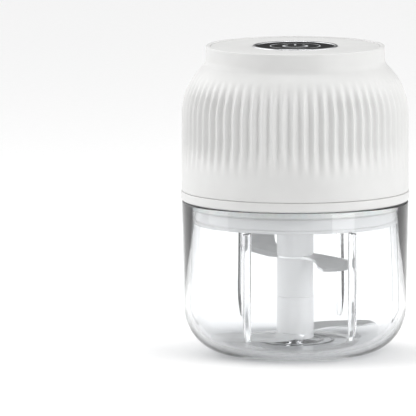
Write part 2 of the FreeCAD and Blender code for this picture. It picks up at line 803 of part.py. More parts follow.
def make_flutes(body):
    """One rounded groove swept down the shoulder and side, repeated all round."""
    line_radius = housing_radius + D.flute_radius - D.flute_depth
    turn_radius = D.shoulder_radius + D.flute_radius - D.flute_depth + D.flute_fade
    turn_centre = line_radius - turn_radius
    straight_end = shoulder_height - D.flute_straight
    low = (line_radius + D.flute_runout * (1 - cosine(D.flute_lower_turn)),
           straight_end - D.flute_runout * sine(D.flute_lower_turn))
    high = (turn_centre + turn_radius * cosine(D.flute_upper_turn),
            shoulder_height + turn_radius * sine(D.flute_upper_turn))
    path = new_sketch(body)
    stations = [low, (line_radius, straight_end), (line_radius, shoulder_height), high]
    bends = [(D.flute_runout, True), None, (turn_radius, False)]
    for number, bend in enumerate(bends):
        start, end = (Vector(point[0].value, point[1].value, 0) for point in stations[number:number + 2])
        if bend:
            arc, ends = arc_between(start, end, bend[0].value, bend[1])
            path.addGeometry(arc, False)
        else:
            path.addGeometry(Part.LineSegment(start, end), False)
            ends = (1, 2)
        for size_pair, corner in ((stations[number], ends[0]), (stations[number + 1], ends[1])):
            for kind, size in zip(("DistanceX", "DistanceY"), size_pair):
                index = path.addConstraint(Sketcher.Constraint(kind, -1, 1, number, corner, size.value))
                bind(path, f"Constraints[{index}]", size)
        if bend:
            index = path.addConstraint(Sketcher.Constraint("Radius", number, bend[0].value))
            bind(path, f"Constraints[{index}]", bend[0])
    section = new_sketch(body, "XY_Plane")
    section.AttachmentOffset = FreeCAD.Placement(
        Vector(0, 0, 0), FreeCAD.Rotation(Vector(0, -1, 0), D.flute_lower_turn.value))
    bind(section, "AttachmentOffset.Rotation.Angle", D.flute_lower_turn)
    bind(section, "AttachmentOffset.Base.x", low[0])
    bind(section, "AttachmentOffset.Base.z", low[1])
    circle(section, D.flute_radius)
    doc.recompute()
    sweep = body.newObject("PartDesign::SubtractivePipe", "flute")
    sweep.Profile = section
    sweep.Spine = (path, ["Edge1", "Edge2", "Edge3"])
    ring_of(body, sweep, D.flute_count)


def add_housing_details(body):
    """Screw posts with their webs, and the window and recess of the charging port at the back."""
    post_circle = case_screw_circle
    turn = 45 - D.flute_phase
    height = D.post_height
    posts = new_sketch(body, "XY_Plane", cover_top)
    webs = new_sketch(body, "XY_Plane", housing_bottom + D.web_lift)
    circle(posts, D.post_radius, post_circle * cosine(turn), post_circle * sine(turn))
    radial = (cosine(turn), sine(turn))
    web = []
    for out, side in ((0, -0.5), (1, -0.5), (1, 0.5), (0, 0.5)):
        across = D.web_thickness * side
        reach = post_circle + (housing_inner + D.web_root - post_circle) * out
        web.append((reach * radial[0] - radial[1] * across, reach * radial[1] + radial[0] * across))
    draw(webs, web)
    solid = pad(body, posts, height)
    ring_of(body, solid, D.case_screw_count)
    fins = pad(body, webs, height - (housing_bottom + D.web_lift - cover_top))
    ring_of(body, fins, D.case_screw_count)
    holes = new_sketch(body, "XY_Plane", cover_top + height - D.post_cap)
    circle(holes, D.screw_radius, post_circle * cosine(turn), post_circle * sine(turn))
    pilot = pocket(body, holes, height)
    ring_of(body, pilot, D.case_screw_count)
    back = 90 - D.flute_phase
    margin = D.touch_gap * 2
    for width, tall, depth_from in (
            (D.port_width + margin, D.port_height + margin, D.housing_wall + OVERSHOOT),
            (D.cover_width + margin, D.cover_height + margin, housing_radius - recess_floor)):
        near = housing_radius - depth_from
        far = housing_radius + OVERSHOOT
        cut = new_sketch(body, "XY_Plane", D.port_centre + tall * 0.5)
        corners = []
        for reach, across in ((near, -0.5), (far, -0.5), (far, 0.5), (near, 0.5)):
            corners.append((reach * cosine(back) - width * across * sine(back),
                            reach * sine(back) + width * across * cosine(back)))
        draw(cut, corners)
        pocket(body, cut, tall)


def make_top():
    """Panel set into the rim, with a well under the button and posts for the control board."""
    body = new_body("top_panel")
    stem_hole = D.button_stem + D.stem_gap
    section = new_sketch(body)
    draw(section, [
        (stem_hole, well_bottom), (well_radius, well_bottom), (well_radius, panel_bottom),
        (panel_radius, panel_bottom), (panel_radius, panel_top), (button_ring_outer, panel_top),
        (button_ring_outer, well_top), (stem_hole, well_top),
    ])
    feature(body, "Revolution", section, ReferenceAxis=(section, ["V_Axis"]), Angle=360)
    post = new_sketch(body, "XY_Plane", board_top)
    circle(post, D.board_post_radius, D.board_post_circle)
    ring_of(body, pad(body, post, panel_bottom - board_top + D.post_sink), Size(3))
    hole = new_sketch(body, "XY_Plane", board_top + D.post_hole)
    circle(hole, D.small_screw_radius, D.board_post_circle)
    ring_of(body, pocket(body, hole, D.post_hole + OVERSHOOT), Size(3))
    place(body, turn=30)
    tube("button_ring", button_ring_inner, button_ring_outer, well_top, D.total_height)
    skirt = button_underside - D.button_skirt
    rim = D.button_radius - D.button_skirt_width
    revolved("power_button", [
        (ZERO, plunger_top), (D.button_stem, plunger_top), (D.button_stem, button_underside),
        (rim, button_underside), (rim, skirt), (D.button_radius, skirt),
        (D.button_radius, button_top - D.edge_break), (D.button_radius - D.edge_break, button_top),
        (ZERO, button_top),
    ])


def make_button_spring():
    """Conical coil of square wire under the button. Its turns close flat in each other."""
    half = D.spring_wire.value / 2
    radius = D.spring_radius.value
    low = well_top.value + half + D.spring_gap.value
    high = button_underside.value - half - D.spring_gap.value
    turns = D.spring_turns.value
    widening = (D.spring_wire.value + D.spring_nesting.value) * turns
    slope = math.hypot(widening, high - low)      # a cone's helix is measured along its slope
    helix = Part.makeHelix(slope / turns, slope, radius, math.degrees(math.atan2(widening, high - low)))
    helix.translate(Vector(0, 0, low))
    corners = [Vector(radius + x * half, 0, low + z * half) for x, z in ((-1, -1), (1, -1), (1, 1), (-1, 1))]
    section = Part.makePolygon(corners + corners[:1])
    placed_shape("button_spring", Part.Wire(helix.Edges).makePipeShell([section], True, True))


# ---------------------------------------------------------------------------------------------------------
# Boards, switch, battery and charging port
# ---------------------------------------------------------------------------------------------------------
def make_electronics():
    board = new_body("control_board")
    outline = circle(new_sketch(board, "XY_Plane", board_bottom), D.board_radius)
    pad(board, outline, D.board_thickness)
    hole = new_sketch(board, "XY_Plane", board_top)
    circle(hole, D.small_screw_radius + D.head_gap, D.board_post_circle)
    ring_of(board, pocket(board, hole, D.board_thickness), Size(3))
    place(board, turn=30)

    switch = new_body("tact_switch")
    base = rectangle(new_sketch(switch, "XY_Plane", board_top), D.switch_side, D.switch_side, ZERO, ZERO)
    pad(switch, base, D.switch_height)
    well = new_sketch(switch, "XY_Plane", board_top + D.switch_height)
    pocket(switch, circle(well, D.plunger_radius + D.plunger_gap),
           D.switch_height - D.switch_floor)

    plunger_foot = plunger_top - D.plunger_length + D.plunger_lift
    tube("switch_plunger", ZERO, D.plunger_radius, plunger_foot, plunger_top)

    charge = new_body("charge_board")
    outline = new_sketch(charge, "XY_Plane", charge_board_bottom)
    rectangle(outline, D.charge_board_width, D.charge_board_length, ZERO, charge_board_centre)
    pad(charge, outline, D.board_thickness)

    port = new_body("charge_port")
    port_back = housing_inner + D.port_reach
    port_low = charge_board_bottom + D.board_thickness
    port_middle = port_back - D.port_length * 0.5
    shell = new_sketch(port, "XY_Plane", port_low)
    rectangle(shell, D.port_width, D.port_length, ZERO, port_middle)
    pad(port, shell, D.port_height)
    mouth = new_sketch(port, "XY_Plane", port_low + D.port_height - D.port_shell)
    rectangle(mouth, D.port_width - D.port_shell * 2, D.port_length, ZERO, port_middle + OVERSHOOT)
    pocket(port, mouth, D.port_height - D.port_shell * 2)
    tongue = new_sketch(port, "XY_Plane", port_low + (D.port_height - D.port_tongue) * 0.5)
    rectangle(tongue, D.port_width - D.port_tongue_inset - D.port_shell, D.port_length - D.port_tongue_inset,
              ZERO, port_middle)
    pad(port, tongue, D.port_tongue)


def make_port_cover():
    """Soft cover flush with the side, hinged along its lower edge."""
    body = new_body("port_cover")
    face = housing_radius - D.cover_face_gap
    back = recess_floor + D.cover_back_gap
    half = D.cover_width * 0.5
    plan = new_sketch(body, "XY_Plane", D.port_centre - D.cover_height * 0.5)
    draw(plan, [
        (-half, back), (half, back), (half, leg(face, half)), (-half, leg(face, half), face, "ccw"),
    ])
    pad(body, plan, D.cover_height)


def make_battery():
    """Upright cell beside the motor, its clip, and the two nickel tabs."""
    low = cover_top + D.battery_lift
    cell = tube("battery_cell", ZERO, D.battery_radius, low, low + D.battery_length)
    place(cell, x=D.battery_offset)
    inner = D.battery_radius + D.holder_gap
    outer = inner + D.holder_wall
    holder = tube("battery_holder", inner, outer, low, low + D.battery_length * D.holder_share)
    slot = rectangle(new_sketch(holder, "XY_Plane", low + D.battery_length), outer, inner * 1.5, outer, ZERO)
    pocket(holder, slot, D.battery_length)
    place(holder, x=D.battery_offset)
    tabs = new_body("battery_tabs")
    for level in (low - D.tab_thickness, low + D.battery_length):
        pad(tabs, circle(new_sketch(tabs, "XY_Plane", level), D.tab_radius), D.tab_thickness)
    place(tabs, x=D.battery_offset)


# ---------------------------------------------------------------------------------------------------------
# Planetary gear train
# ---------------------------------------------------------------------------------------------------------
def involute(base_radius, radius):
    """Polar angle of the involute of a base circle at a given radius."""
    tangent = math.sqrt(max((radius / base_radius) ** 2 - 1, 0))
    return tangent - math.atan(tangent)


def gear_face(teeth, inner, backlash):
    """Outline of a spur gear with a tooth centred on +X, or of a ring gear's bore with a gap there."""
    module = D.gear_module.value
    pitch = teeth * module / 2
    base = pitch * math.cos(math.radians(D.pressure_angle.value))
    tip = pitch + module * (1.0 if inner else 0.8)
    foot = pitch - module * (0.8 if inner else 1.0)
    half_tooth = math.pi / (2 * teeth) + (backlash if inner else -backlash) / (2 * pitch)
    flank_base = half_tooth + involute(base, pitch)
    start = max(foot, base)
    radii = [start + (tip - start) * share / 4 for share in range(5)]
    edges = []
    for number in range(teeth):
        centre = 2 * math.pi * number / teeth
        left = [(radius, centre + flank_base - involute(base, radius)) for radius in radii]
        right = [(radius, centre - flank_base + involute(base, radius)) for radius in radii]
        points = [(foot, right[0][1])] + right + left[::-1] + [(foot, left[0][1])]
        corners = [polar(radius, math.degrees(angle)) for radius, angle in points]
        following = polar(foot, math.degrees(right[0][1] + 2 * math.pi / teeth))
        corners.append(following)
        edges += [Part.LineSegment(a, b).toShape() for a, b in zip(corners, corners[1:])
                  if (a - b).Length > 1e-6]
    return Part.Face(Part.Wire(edges))


def make_gears():
    """Sun, three planets on the carrier's pins, and the fixed ring: all in mesh at rest."""
    width = D.gear_width.value
    lift = Vector(0, 0, width)
    backlash = D.tooth_backlash.value
    hole = Part.makeCylinder(D.motor_shaft.value, width)
    sun = gear_face(int(D.sun_teeth.value), False, backlash).extrude(lift).cut(hole)
    placed_shape("sun_gear", sun, z=gear_bottom)
    ring = Part.makeCylinder(ring_outer.value, width)
    bore = gear_face(int(D.ring_teeth.value), True, backlash).extrude(lift)
    placed_shape("ring_gear", ring.cut(bore), z=gear_bottom)
    pin_hole = Part.makeCylinder((D.planet_pin_radius + D.running_gap).value, width)
    half_pitch = 180 / D.planet_teeth.value
    for number in range(3):
        turn = 120 * number
        planet = gear_face(int(D.planet_teeth.value), False, backlash).extrude(lift).cut(pin_hole)
        gear = placed_shape(f"planet_gear_{number + 1}", planet, z=gear_bottom)
        own_turn = turn * (1 + D.sun_teeth.value / D.planet_teeth.value) + half_pitch + 180
        place(gear, *at_angle(planet_circle, turn), gear_bottom, own_turn % 360)


def at_angle(radius, degrees):
    """X and Y of a point on a circle, at a fixed direction."""
    return radius * math.cos(math.radians(degrees)), radius * math.sin(math.radians(degrees))


def make_gear_case():
    body = new_body("gearbox_case")
    outer = ring_outer + D.case_wall
    flange = outer + D.case_flange_width
    section = new_sketch(body)
    draw(section, [
        (bush_seat, cover_top), (flange, cover_top), (flange, cover_top + D.case_flange),
        (outer, cover_top + D.case_flange), (outer, lid_bottom), (ring_outer, lid_bottom),
        (ring_outer, gear_bottom), (ring_outer - D.ring_rim, gear_bottom),
        (ring_outer - D.ring_rim, case_top_floor), (bush_seat, case_top_floor),
    ])
    feature(body, "Revolution", section, ReferenceAxis=(section, ["V_Axis"]), Angle=360)
    hole = new_sketch(body, "XY_Plane", cover_top + D.case_flange)
    circle(hole, D.small_screw_radius, *at_angle(flange_screw_circle, 90))
    ring_of(body, pocket(body, hole, D.case_flange), Size(3))

    lid = new_body("gearbox_lid")
    boss = D.motor_shaft + D.lid_boss
    section = new_sketch(lid)
    draw(section, [(boss, lid_bottom), (outer, lid_bottom), (outer, lid_top), (boss, lid_top)])
    feature(lid, "Revolution", section, ReferenceAxis=(section, ["V_Axis"]), Angle=360)
    for radius, level in ((D.small_screw_head + D.head_gap, lid_bottom + D.screw_head_height + D.head_sink),
                          (D.small_screw_radius, lid_top)):
        hole = new_sketch(lid, "XY_Plane", level)
        circle(hole, radius, motor_screw_circle)
        ring_of(lid, pocket(lid, hole, level - lid_bottom), Size(2))

    tube("output_bush", D.coupling_radius + D.running_gap, bush_seat, cover_top, case_top_floor)
    tube("shaft_seal", D.coupling_radius + D.running_gap, seal_outer, cover_underside, cover_top)


def make_output():
    """Carrier with its three pins, and the coupling that drives the cutter."""
    carrier = new_body("planet_carrier")
    disc = D.gear_module * D.ring_teeth * 0.5 - D.carrier_rim
    hub = D.coupling_radius - D.hub_step
    plate = new_sketch(carrier, "XY_Plane", carrier_bottom)
    circle(plate, disc)
    circle(plate, hub)
    pad(carrier, plate, D.carrier_thickness)
    hole = new_sketch(carrier, "XY_Plane", carrier_bottom + D.carrier_thickness)
    circle(hole, D.planet_pin_radius, planet_circle)
    ring_of(carrier, pocket(carrier, hole, D.carrier_thickness), Size(3))
    pins = new_body("planet_pins")
    foot = circle(new_sketch(pins, "XY_Plane", carrier_bottom), D.planet_pin_radius, planet_circle)
    ring_of(pins, pad(pins, foot, gear_top - carrier_bottom), Size(3))
    coupling = new_body("drive_coupling")
    shoulder = cover_underside - D.touch_gap
    drive_end = column_top - D.socket_depth + D.drive_end_gap
    drive = hexagon(new_sketch(coupling, "XY_Plane", drive_end), D.coupling_flats)
    pad(coupling, drive, shoulder - drive_end)
    shaft = circle(new_sketch(coupling, "XY_Plane", shoulder), D.coupling_radius)
    pad(coupling, shaft, carrier_bottom - shoulder)
    spigot = circle(new_sketch(coupling, "XY_Plane", carrier_bottom), hub)
    pad(coupling, spigot, D.carrier_thickness)


# ---------------------------------------------------------------------------------------------------------
# Motor
# ---------------------------------------------------------------------------------------------------------
def make_motor():
    inner = D.motor_radius - D.motor_wall
    front_top = lid_top + D.motor_front
    bush = D.motor_shaft + D.motor_bush_wall
    shaft_bore = D.motor_shaft + D.running_gap
    cap_top = motor_top + D.motor_cap
    magnet_inner = inner - D.magnet_thickness
    armature_radius = magnet_inner - D.armature_gap
    armature_low = front_top + D.armature_low_gap
    armature_high = motor_top - D.armature_high_gap
    can = new_body("motor_can")
    section = new_sketch(can)
    draw(section, [
        (bush, lid_top), (D.motor_radius, lid_top), (D.motor_radius, motor_top), (inner, motor_top),
        (inner, front_top), (bush, front_top),
    ])
    feature(can, "Revolution", section, ReferenceAxis=(section, ["V_Axis"]), Angle=360)
    hole = new_sketch(can, "XY_Plane", front_top)
    circle(hole, D.small_screw_radius, motor_screw_circle)
    ring_of(can, pocket(can, hole, D.motor_front), Size(2))
    tube("motor_end_cap", bush, D.motor_radius - D.cap_step, motor_top, cap_top)
    bushes = new_body("motor_bushes")
    for low, high in ((lid_top - D.bush_lap, front_top), (motor_top, cap_top)):
        ring = new_sketch(bushes, "XY_Plane", low)
        circle(ring, bush)
        circle(ring, shaft_bore)
        pad(bushes, ring, high - low)
    magnets = new_body("motor_magnets")
    arc = new_sketch(magnets, "XY_Plane", armature_low - D.magnet_lap)
    draw(arc, [
        (magnet_inner * 0.5, leg(magnet_inner, magnet_inner * 0.5), magnet_inner, "ccw"),
        (inner * 0.5, leg(inner, inner * 0.5)),
        (inner * 0.5, -leg(inner, inner * 0.5), inner, "cw"),
        (magnet_inner * 0.5, -leg(magnet_inner, magnet_inner * 0.5)),
    ])
    ring_of(magnets, pad(magnets, arc, armature_high - armature_low + D.magnet_lap * 2), Size(2))
    tube("rotor_shaft", ZERO, D.motor_shaft, gear_bottom, cap_top + D.shaft_tail)
    armature = new_body("armature")
    stack = new_sketch(armature, "XY_Plane", armature_low)
    circle(stack, armature_radius)
    circle(stack, D.motor_shaft)
    pad(armature, stack, armature_high - armature_low)
    slot = rectangle(new_sketch(armature, "XY_Plane", armature_high), armature_radius, D.armature_slot,
                     armature_radius, ZERO)
    ring_of(armature, pocket(armature, slot, armature_high - armature_low), Size(5))
    tube("commutator", D.motor_shaft, D.motor_shaft + D.commutator_wall,
         armature_high + D.commutator_gap, motor_top - D.commutator_end_gap)


# ---------------------------------------------------------------------------------------------------------
# Screws
# ---------------------------------------------------------------------------------------------------------
def make_screws(label, count, place_at, shank, head, foot, seat, head_level):
    """A ring of equal screws: each shank runs up from foot to seat, and its head is on head_level."""
    body = new_body(label)
    shaft = pad(body, circle(new_sketch(body, "XY_Plane", foot), shank, *place_at), seat - foot)
    cap = pad(body, circle(new_sketch(body, "XY_Plane", head_level), head, *place_at), D.screw_head_height)
    pattern = ring_of(body, shaft, Size(count))
    pattern.Originals = [shaft, cap]


def make_all_screws():
    head_seat = cover_underside + D.screw_head_height + D.head_gap
    make_screws("case_screws", 4, at_angle(case_screw_circle, 45), D.screw_radius, D.screw_head,
                head_seat, head_seat + D.case_screw_length, head_seat - D.screw_head_height)
    flange_seat = cover_top + D.case_flange
    make_screws("gearbox_screws", 3, at_angle(flange_screw_circle, 90), D.small_screw_radius,
                D.small_screw_head, cover_top - D.flange_screw_end, flange_seat, flange_seat)
    lid_seat = lid_bottom + D.screw_head_height + D.head_sink
    make_screws("motor_screws", 2, (motor_screw_circle, ZERO), D.small_screw_radius,
                D.small_screw_head, lid_seat, lid_top + D.motor_front, lid_seat - D.screw_head_height)
    make_screws("board_screws", 3, at_angle(D.board_post_circle, 30), D.small_screw_radius,
                D.small_screw_head, board_bottom, board_top + D.board_screw_end,
                board_bottom - D.screw_head_height)


# ---------------------------------------------------------------------------------------------------------
# Build, check and write
# ---------------------------------------------------------------------------------------------------------
make_bowl()
make_spindle()
make_column()
make_blades()
make_baffle()
make_base_cover()
make_seal_ring()
make_housing()
make_top()
make_button_spring()
make_electronics()
make_port_cover()
make_battery()
make_gears()
make_gear_case()
make_output()
make_motor()
make_all_screws()
doc.recompute()

faults = [item.Name for item in doc.Objects if "Invalid" in item.State or "Error" in item.State]
faults += [piece.Label for piece in pieces if piece.Shape.isNull() or not piece.Shape.isValid()]
if faults:
    raise RuntimeError("these did not build: " + ", ".join(faults))

os.makedirs("parts", exist_ok=True)
for piece in pieces:
    piece.Shape.exportStep(f"parts/{piece.Label}.step")
print(f"{len(pieces)} pieces written")
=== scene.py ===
# %% [markdown]
# # A cordless mini food processor
# The object is a clear bowl with a motor unit standing on it. Inside the bowl a white column carries two
# steel blades under a white baffle. The frame below holds every piece at its real size and place, in metres.
# This script gives the pieces their looks: it models the outer pieces again with smooth, dense meshes, and
# gives every piece a material that follows from what it is made of and how its surface was made.

# %% Load the frame
import math

import bmesh
import bpy
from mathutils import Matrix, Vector


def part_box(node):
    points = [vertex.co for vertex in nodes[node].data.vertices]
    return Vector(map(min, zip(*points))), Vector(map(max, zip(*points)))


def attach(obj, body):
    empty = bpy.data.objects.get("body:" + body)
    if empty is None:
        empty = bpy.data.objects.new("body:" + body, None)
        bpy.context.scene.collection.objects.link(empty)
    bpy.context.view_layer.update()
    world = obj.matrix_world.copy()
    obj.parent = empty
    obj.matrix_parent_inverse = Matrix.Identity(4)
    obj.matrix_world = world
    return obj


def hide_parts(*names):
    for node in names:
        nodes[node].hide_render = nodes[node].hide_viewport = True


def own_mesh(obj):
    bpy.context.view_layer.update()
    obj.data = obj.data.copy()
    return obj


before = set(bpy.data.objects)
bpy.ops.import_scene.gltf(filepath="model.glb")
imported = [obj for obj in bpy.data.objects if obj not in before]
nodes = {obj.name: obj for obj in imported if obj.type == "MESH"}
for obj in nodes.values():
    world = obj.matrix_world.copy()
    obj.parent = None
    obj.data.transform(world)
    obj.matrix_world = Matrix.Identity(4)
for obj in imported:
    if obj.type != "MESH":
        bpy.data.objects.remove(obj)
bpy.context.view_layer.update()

MM = 0.001

# %% [markdown]
# ## Sizes come from the frame
# A piece is never typed in at a guessed place. Its lowest and highest corners are read from the frame, and
# the shapes below are drawn from those numbers, so that they fit wherever the design puts the piece.


# %% Read levels and radii
def level(node, end):
    """Height in mm of a node's bottom (0) or top (1)."""
    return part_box(node)[end].z / MM


def radius(node):
    """Largest half width in mm of a round node on the object's axis."""
    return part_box(node)[1].x / MM


HOUSING_LOW, HOUSING_TOP = level("motor_housing", 0), level("motor_housing", 1)
LIP_HEIGHT = 3.6
LIP_LOW = HOUSING_LOW - LIP_HEIGHT
BOWL_TOP, BOWL_RADIUS = level("bowl", 1), radius("bowl")
PANEL_TOP, PANEL_RADIUS = level("top_panel", 1), radius("top_panel")
RING_RADIUS = radius("button_ring")
BUTTON_RADIUS, BUTTON_TOP = radius("power_button"), level("power_button", 1)
PARTING_GAP = 0.3              # between pieces of different bodies, mm
print(f"bowl {BOWL_RADIUS:.2f} x {BOWL_TOP:.1f} mm, housing from {HOUSING_LOW:.1f} to {HOUSING_TOP:.1f} mm")

# %% [markdown]
# ## Modelling helpers
# Most of the pieces are round, as turned or moulded pieces are. A round piece is drawn as half a section and
# spun about the upright axis. An operator acts on everything that is selected, so each step starts by
# clearing the selection, and picks faces or edges by their place.


# %% Selection, edit mode and modifiers
def clear_selection():
    if bpy.context.object and bpy.context.object.mode != "OBJECT":
        bpy.ops.object.mode_set(mode="OBJECT")
    bpy.ops.object.select_all(action="DESELECT")


def edit(piece):
    clear_selection()
    bpy.context.view_layer.objects.active = piece
    piece.select_set(True)
    bpy.ops.object.mode_set(mode="EDIT")


def pick(piece, kind, test):
    """Select the vertices, edges or faces of a piece in edit mode whose centre passes a test."""
    mesh = bmesh.from_edit_mesh(piece.data)
    bpy.ops.mesh.select_all(action="DESELECT")
    found = 0
    for item in getattr(mesh, kind):
        centre = item.co if kind == "verts" else (
            item.calc_center_median() if kind == "faces" else (item.verts[0].co + item.verts[1].co) / 2)
        if test(centre / MM, item):
            item.select_set(True)
            found += 1
    mesh.select_flush_mode()
    bmesh.update_edit_mesh(piece.data)
    return found


def modify(piece, kind, **settings):
    """Add a modifier and apply it at once."""
    clear_selection()
    bpy.context.view_layer.objects.active = piece
    modifier = piece.modifiers.new(kind.title(), kind)
    for name, value in settings.items():
        setattr(modifier, name, value)
    bpy.ops.object.modifier_apply(modifier=modifier.name)


def finish(piece, body, *stands_for, smooth=35.0):
    """Smooth the piece's shading, move it into the row's frame for good, and let it ride on its body."""
    clear_selection()
    bpy.context.view_layer.objects.active = piece
    piece.select_set(True)
    bpy.ops.object.transform_apply(location=True, rotation=True, scale=True)
    bpy.ops.object.shade_smooth_by_angle(angle=math.radians(smooth))
    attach(piece, body)
    if stands_for:
        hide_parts(*stands_for)
    piece.select_set(False)
    print(f"{piece.name}: {len(piece.data.polygons)} faces")
    return piece


# %% [markdown]
# A sharp corner catches no light, so moulded corners are rounded in the section itself. Each corner of an
# outline may carry a radius, and the helper swaps it for a short arc that is tangent to both of its sides.


# %% Outlines with rounded corners
def rounded(corners, closed=True):
    """Points of an outline. A corner is (radius, height) or (radius, height, fillet, steps)."""
    points = []
    for index, corner in enumerate(corners):
        here = Vector(corner[:2])
        ends = not closed and index in (0, len(corners) - 1)
        if len(corner) == 2 or ends:
            points.append(here)
            continue
        fillet, steps = corner[2], (corner[3] if len(corner) > 3 else 5)
        before = (Vector(corners[index - 1][:2]) - here).normalized()
        after = (Vector(corners[(index + 1) % len(corners)][:2]) - here).normalized()
        half = before.angle(after) / 2
        centre = here + (before + after).normalized() * (fillet / math.sin(half))
        start = here + before * (fillet / math.tan(half)) - centre
        end = here + after * (fillet / math.tan(half)) - centre
        first = math.atan2(start.y, start.x)
        turn = (math.atan2(end.y, end.x) - first + math.pi) % math.tau - math.pi
        points += arc(centre, fillet, math.degrees(first), math.degrees(first + turn), steps)
    return points


def arc(centre, size, first, last, steps):
    """Points on an arc in the section, from one angle to another in degrees."""
    angles = (math.radians(first + (last - first) * step / steps) for step in range(steps + 1))
    return [Vector((centre[0] + size * math.cos(a), centre[1] + size * math.sin(a))) for a in angles]


# %% Spin a section into a round piece
def draw_section(name, points, closed=True):
    """One vertex, extruded from point to point in the plane of X and Z."""
    clear_selection()
    bpy.ops.mesh.primitive_plane_add(size=MM)
    piece = bpy.context.object
    piece.name = piece.data.name = name
    bpy.ops.object.mode_set(mode="EDIT")
    bpy.ops.mesh.select_all(action="SELECT")
    bpy.ops.mesh.merge(type="CENTER")
    here = Vector((0, 0, 0))
    first = Vector((points[0][0], 0, points[0][1])) * MM
    bpy.ops.transform.translate(value=first - here)
    for before, after in zip(points, points[1:]):
        step = Vector((after[0] - before[0], 0, after[1] - before[1])) * MM
        bpy.ops.mesh.extrude_region_move(TRANSFORM_OT_translate={"value": step})
    if closed:
        mesh = bmesh.from_edit_mesh(piece.data)
        mesh.verts.ensure_lookup_table()
        ends = [v for v in mesh.verts if len(v.link_edges) == 1]
        bpy.ops.mesh.select_all(action="DESELECT")
        for vertex in ends:
            vertex.select_set(True)
        mesh.select_flush_mode()
        bmesh.update_edit_mesh(piece.data)
        bpy.ops.mesh.edge_face_add()
    return piece


def spin(name, points, steps=192, closed=True):
    """A round piece from a half section. Points on the axis close into a pole."""
    piece = draw_section(name, points, closed)
    bpy.ops.mesh.select_all(action="SELECT")
    bpy.ops.mesh.spin(steps=steps, angle=math.tau, center=(0, 0, 0), axis=(0, 0, 1))
    bpy.ops.mesh.select_all(action="SELECT")
    bpy.ops.mesh.remove_doubles(threshold=0.002 * MM)
    bpy.ops.mesh.normals_make_consistent(inside=False)
    bpy.ops.object.mode_set(mode="OBJECT")
    return piece


# %% [markdown]
# ## Floor, light and camera
# A white object on a white floor is told apart only by its greys. Three soft lamps light it, from the left,
# from the right and from above, and the surroundings add the rest. The floor runs on far behind the object,
# so no horizon shows.

# %% Floor
clear_selection()
bpy.ops.mesh.primitive_plane_add(size=16)
floor = bpy.context.object
floor.name = "studio_floor"


# %% Lamps and world
def area_lamp(name, place, target, width, height, power):
    data = bpy.data.lights.new(name, "AREA")
    data.shape = "RECTANGLE"
    data.size, data.size_y, data.energy = width, height, power
    lamp = bpy.data.objects.new(name, data)
    bpy.context.scene.collection.objects.link(lamp)
    lamp.location = place
    lamp.rotation_euler = (Vector(target) - Vector(place)).to_track_quat("-Z", "Y").to_euler()
    return lamp


MIDDLE = Vector((0, 0, HOUSING_TOP / 2 * MM))
area_lamp("key_left", (-0.95, -0.1, 0.35), MIDDLE, 0.5, 0.9, 1.5)
area_lamp("box_right", (0.7, -0.6, 0.15), MIDDLE, 0.4, 0.6, 1.5)
area_lamp("top_soft", (0.0, 0.05, 0.6), MIDDLE, 0.3, 0.3, 1.2)
bpy.context.scene.view_settings.view_transform = "Standard"

# %% Camera
CAMERA_DISTANCE = 3.5
CAMERA_TILT = math.radians(7.0)
FRAME_PIXELS = 416
PIXELS_PER_MM = 2.71
SENSOR = 36.0
camera_data = bpy.data.cameras.new("camera")
camera_data.sensor_width = SENSOR
camera_data.lens = PIXELS_PER_MM * CAMERA_DISTANCE / MM / FRAME_PIXELS * SENSOR
camera_data.shift_x = -0.2096
camera_data.shift_y = -0.0222
camera_data.clip_start, camera_data.clip_end = 0.05, 60
camera = bpy.data.objects.new("camera", camera_data)
bpy.context.scene.collection.objects.link(camera)
camera.location = MIDDLE + CAMERA_DISTANCE * Vector((0, -math.cos(CAMERA_TILT), math.sin(CAMERA_TILT)))
camera.rotation_euler = (MIDDLE - camera.location).to_track_quat("-Z", "Y").to_euler()
bpy.context.scene.camera = camera

# %% [markdown]
# ## Materials
# Each material starts from what the real one is. Two helpers serve them all: one turns a hex colour, as a
# paint chart gives it, into the linear numbers that the renderer works in, and one adds a node.


# %% Colour and node helpers
def linear(code):
    """Linear RGBA of an sRGB hex colour."""
    shares = [int(code[index:index + 2], 16) / 255 for index in (1, 3, 5)]
    return tuple(s / 12.92 if s <= 0.04045 else ((s + 0.055) / 1.055) ** 2.4 for s in shares) + (1.0,)


def add_node(material, kind, links=(), **settings):
    """Add a node. Settings named like a socket set the socket; links are (socket, other node's output)."""
    node = material.node_tree.nodes.new(kind)
    for name, value in settings.items():
        socket = name.replace("_", " ").title()
        if hasattr(node, name):
            setattr(node, name, value)
        else:
            node.inputs[socket].default_value = value
    for socket, output in links:
        material.node_tree.links.new(node.inputs[socket], output)
    return node


def new_material(name, colour, roughness, **settings):
    """A Principled material with a plain colour. Returns it and its shader node."""
    material = bpy.data.materials.new(name)
    material.use_nodes = True
    shader = material.node_tree.nodes["Principled BSDF"]
    shader.inputs["Base Color"].default_value = linear(colour)
    shader.inputs["Roughness"].default_value = roughness
    for socket, value in settings.items():
        shader.inputs[socket.replace("_", " ").title().replace("Ior", "IOR")].default_value = value
    material.diffuse_color = linear(colour)
    return material, shader


def pattern(material, grain_mm, detail=3.0, kind="ShaderNodeTexNoise", stretch=(1, 1, 1)):
    """A procedural pattern in object space whose grain has a real size in millimetres."""
    place = add_node(material, "ShaderNodeTexCoord")
    scaled = add_node(material, "ShaderNodeMapping", [("Vector", place.outputs["Object"])])
    scaled.inputs["Scale"].default_value = stretch
    source = add_node(material, kind, [("Vector", scaled.outputs[0])], scale=1 / (grain_mm * MM))
    if kind == "ShaderNodeTexNoise":
        source.inputs["Detail"].default_value = detail
    return source


def vary_roughness(material, shader, source, low, high):
    spread = add_node(material, "ShaderNodeMapRange", [("Value", source)])
    spread.inputs["To Min"].default_value = low
    spread.inputs["To Max"].default_value = high
    material.node_tree.links.new(shader.inputs["Roughness"], spread.outputs["Result"])


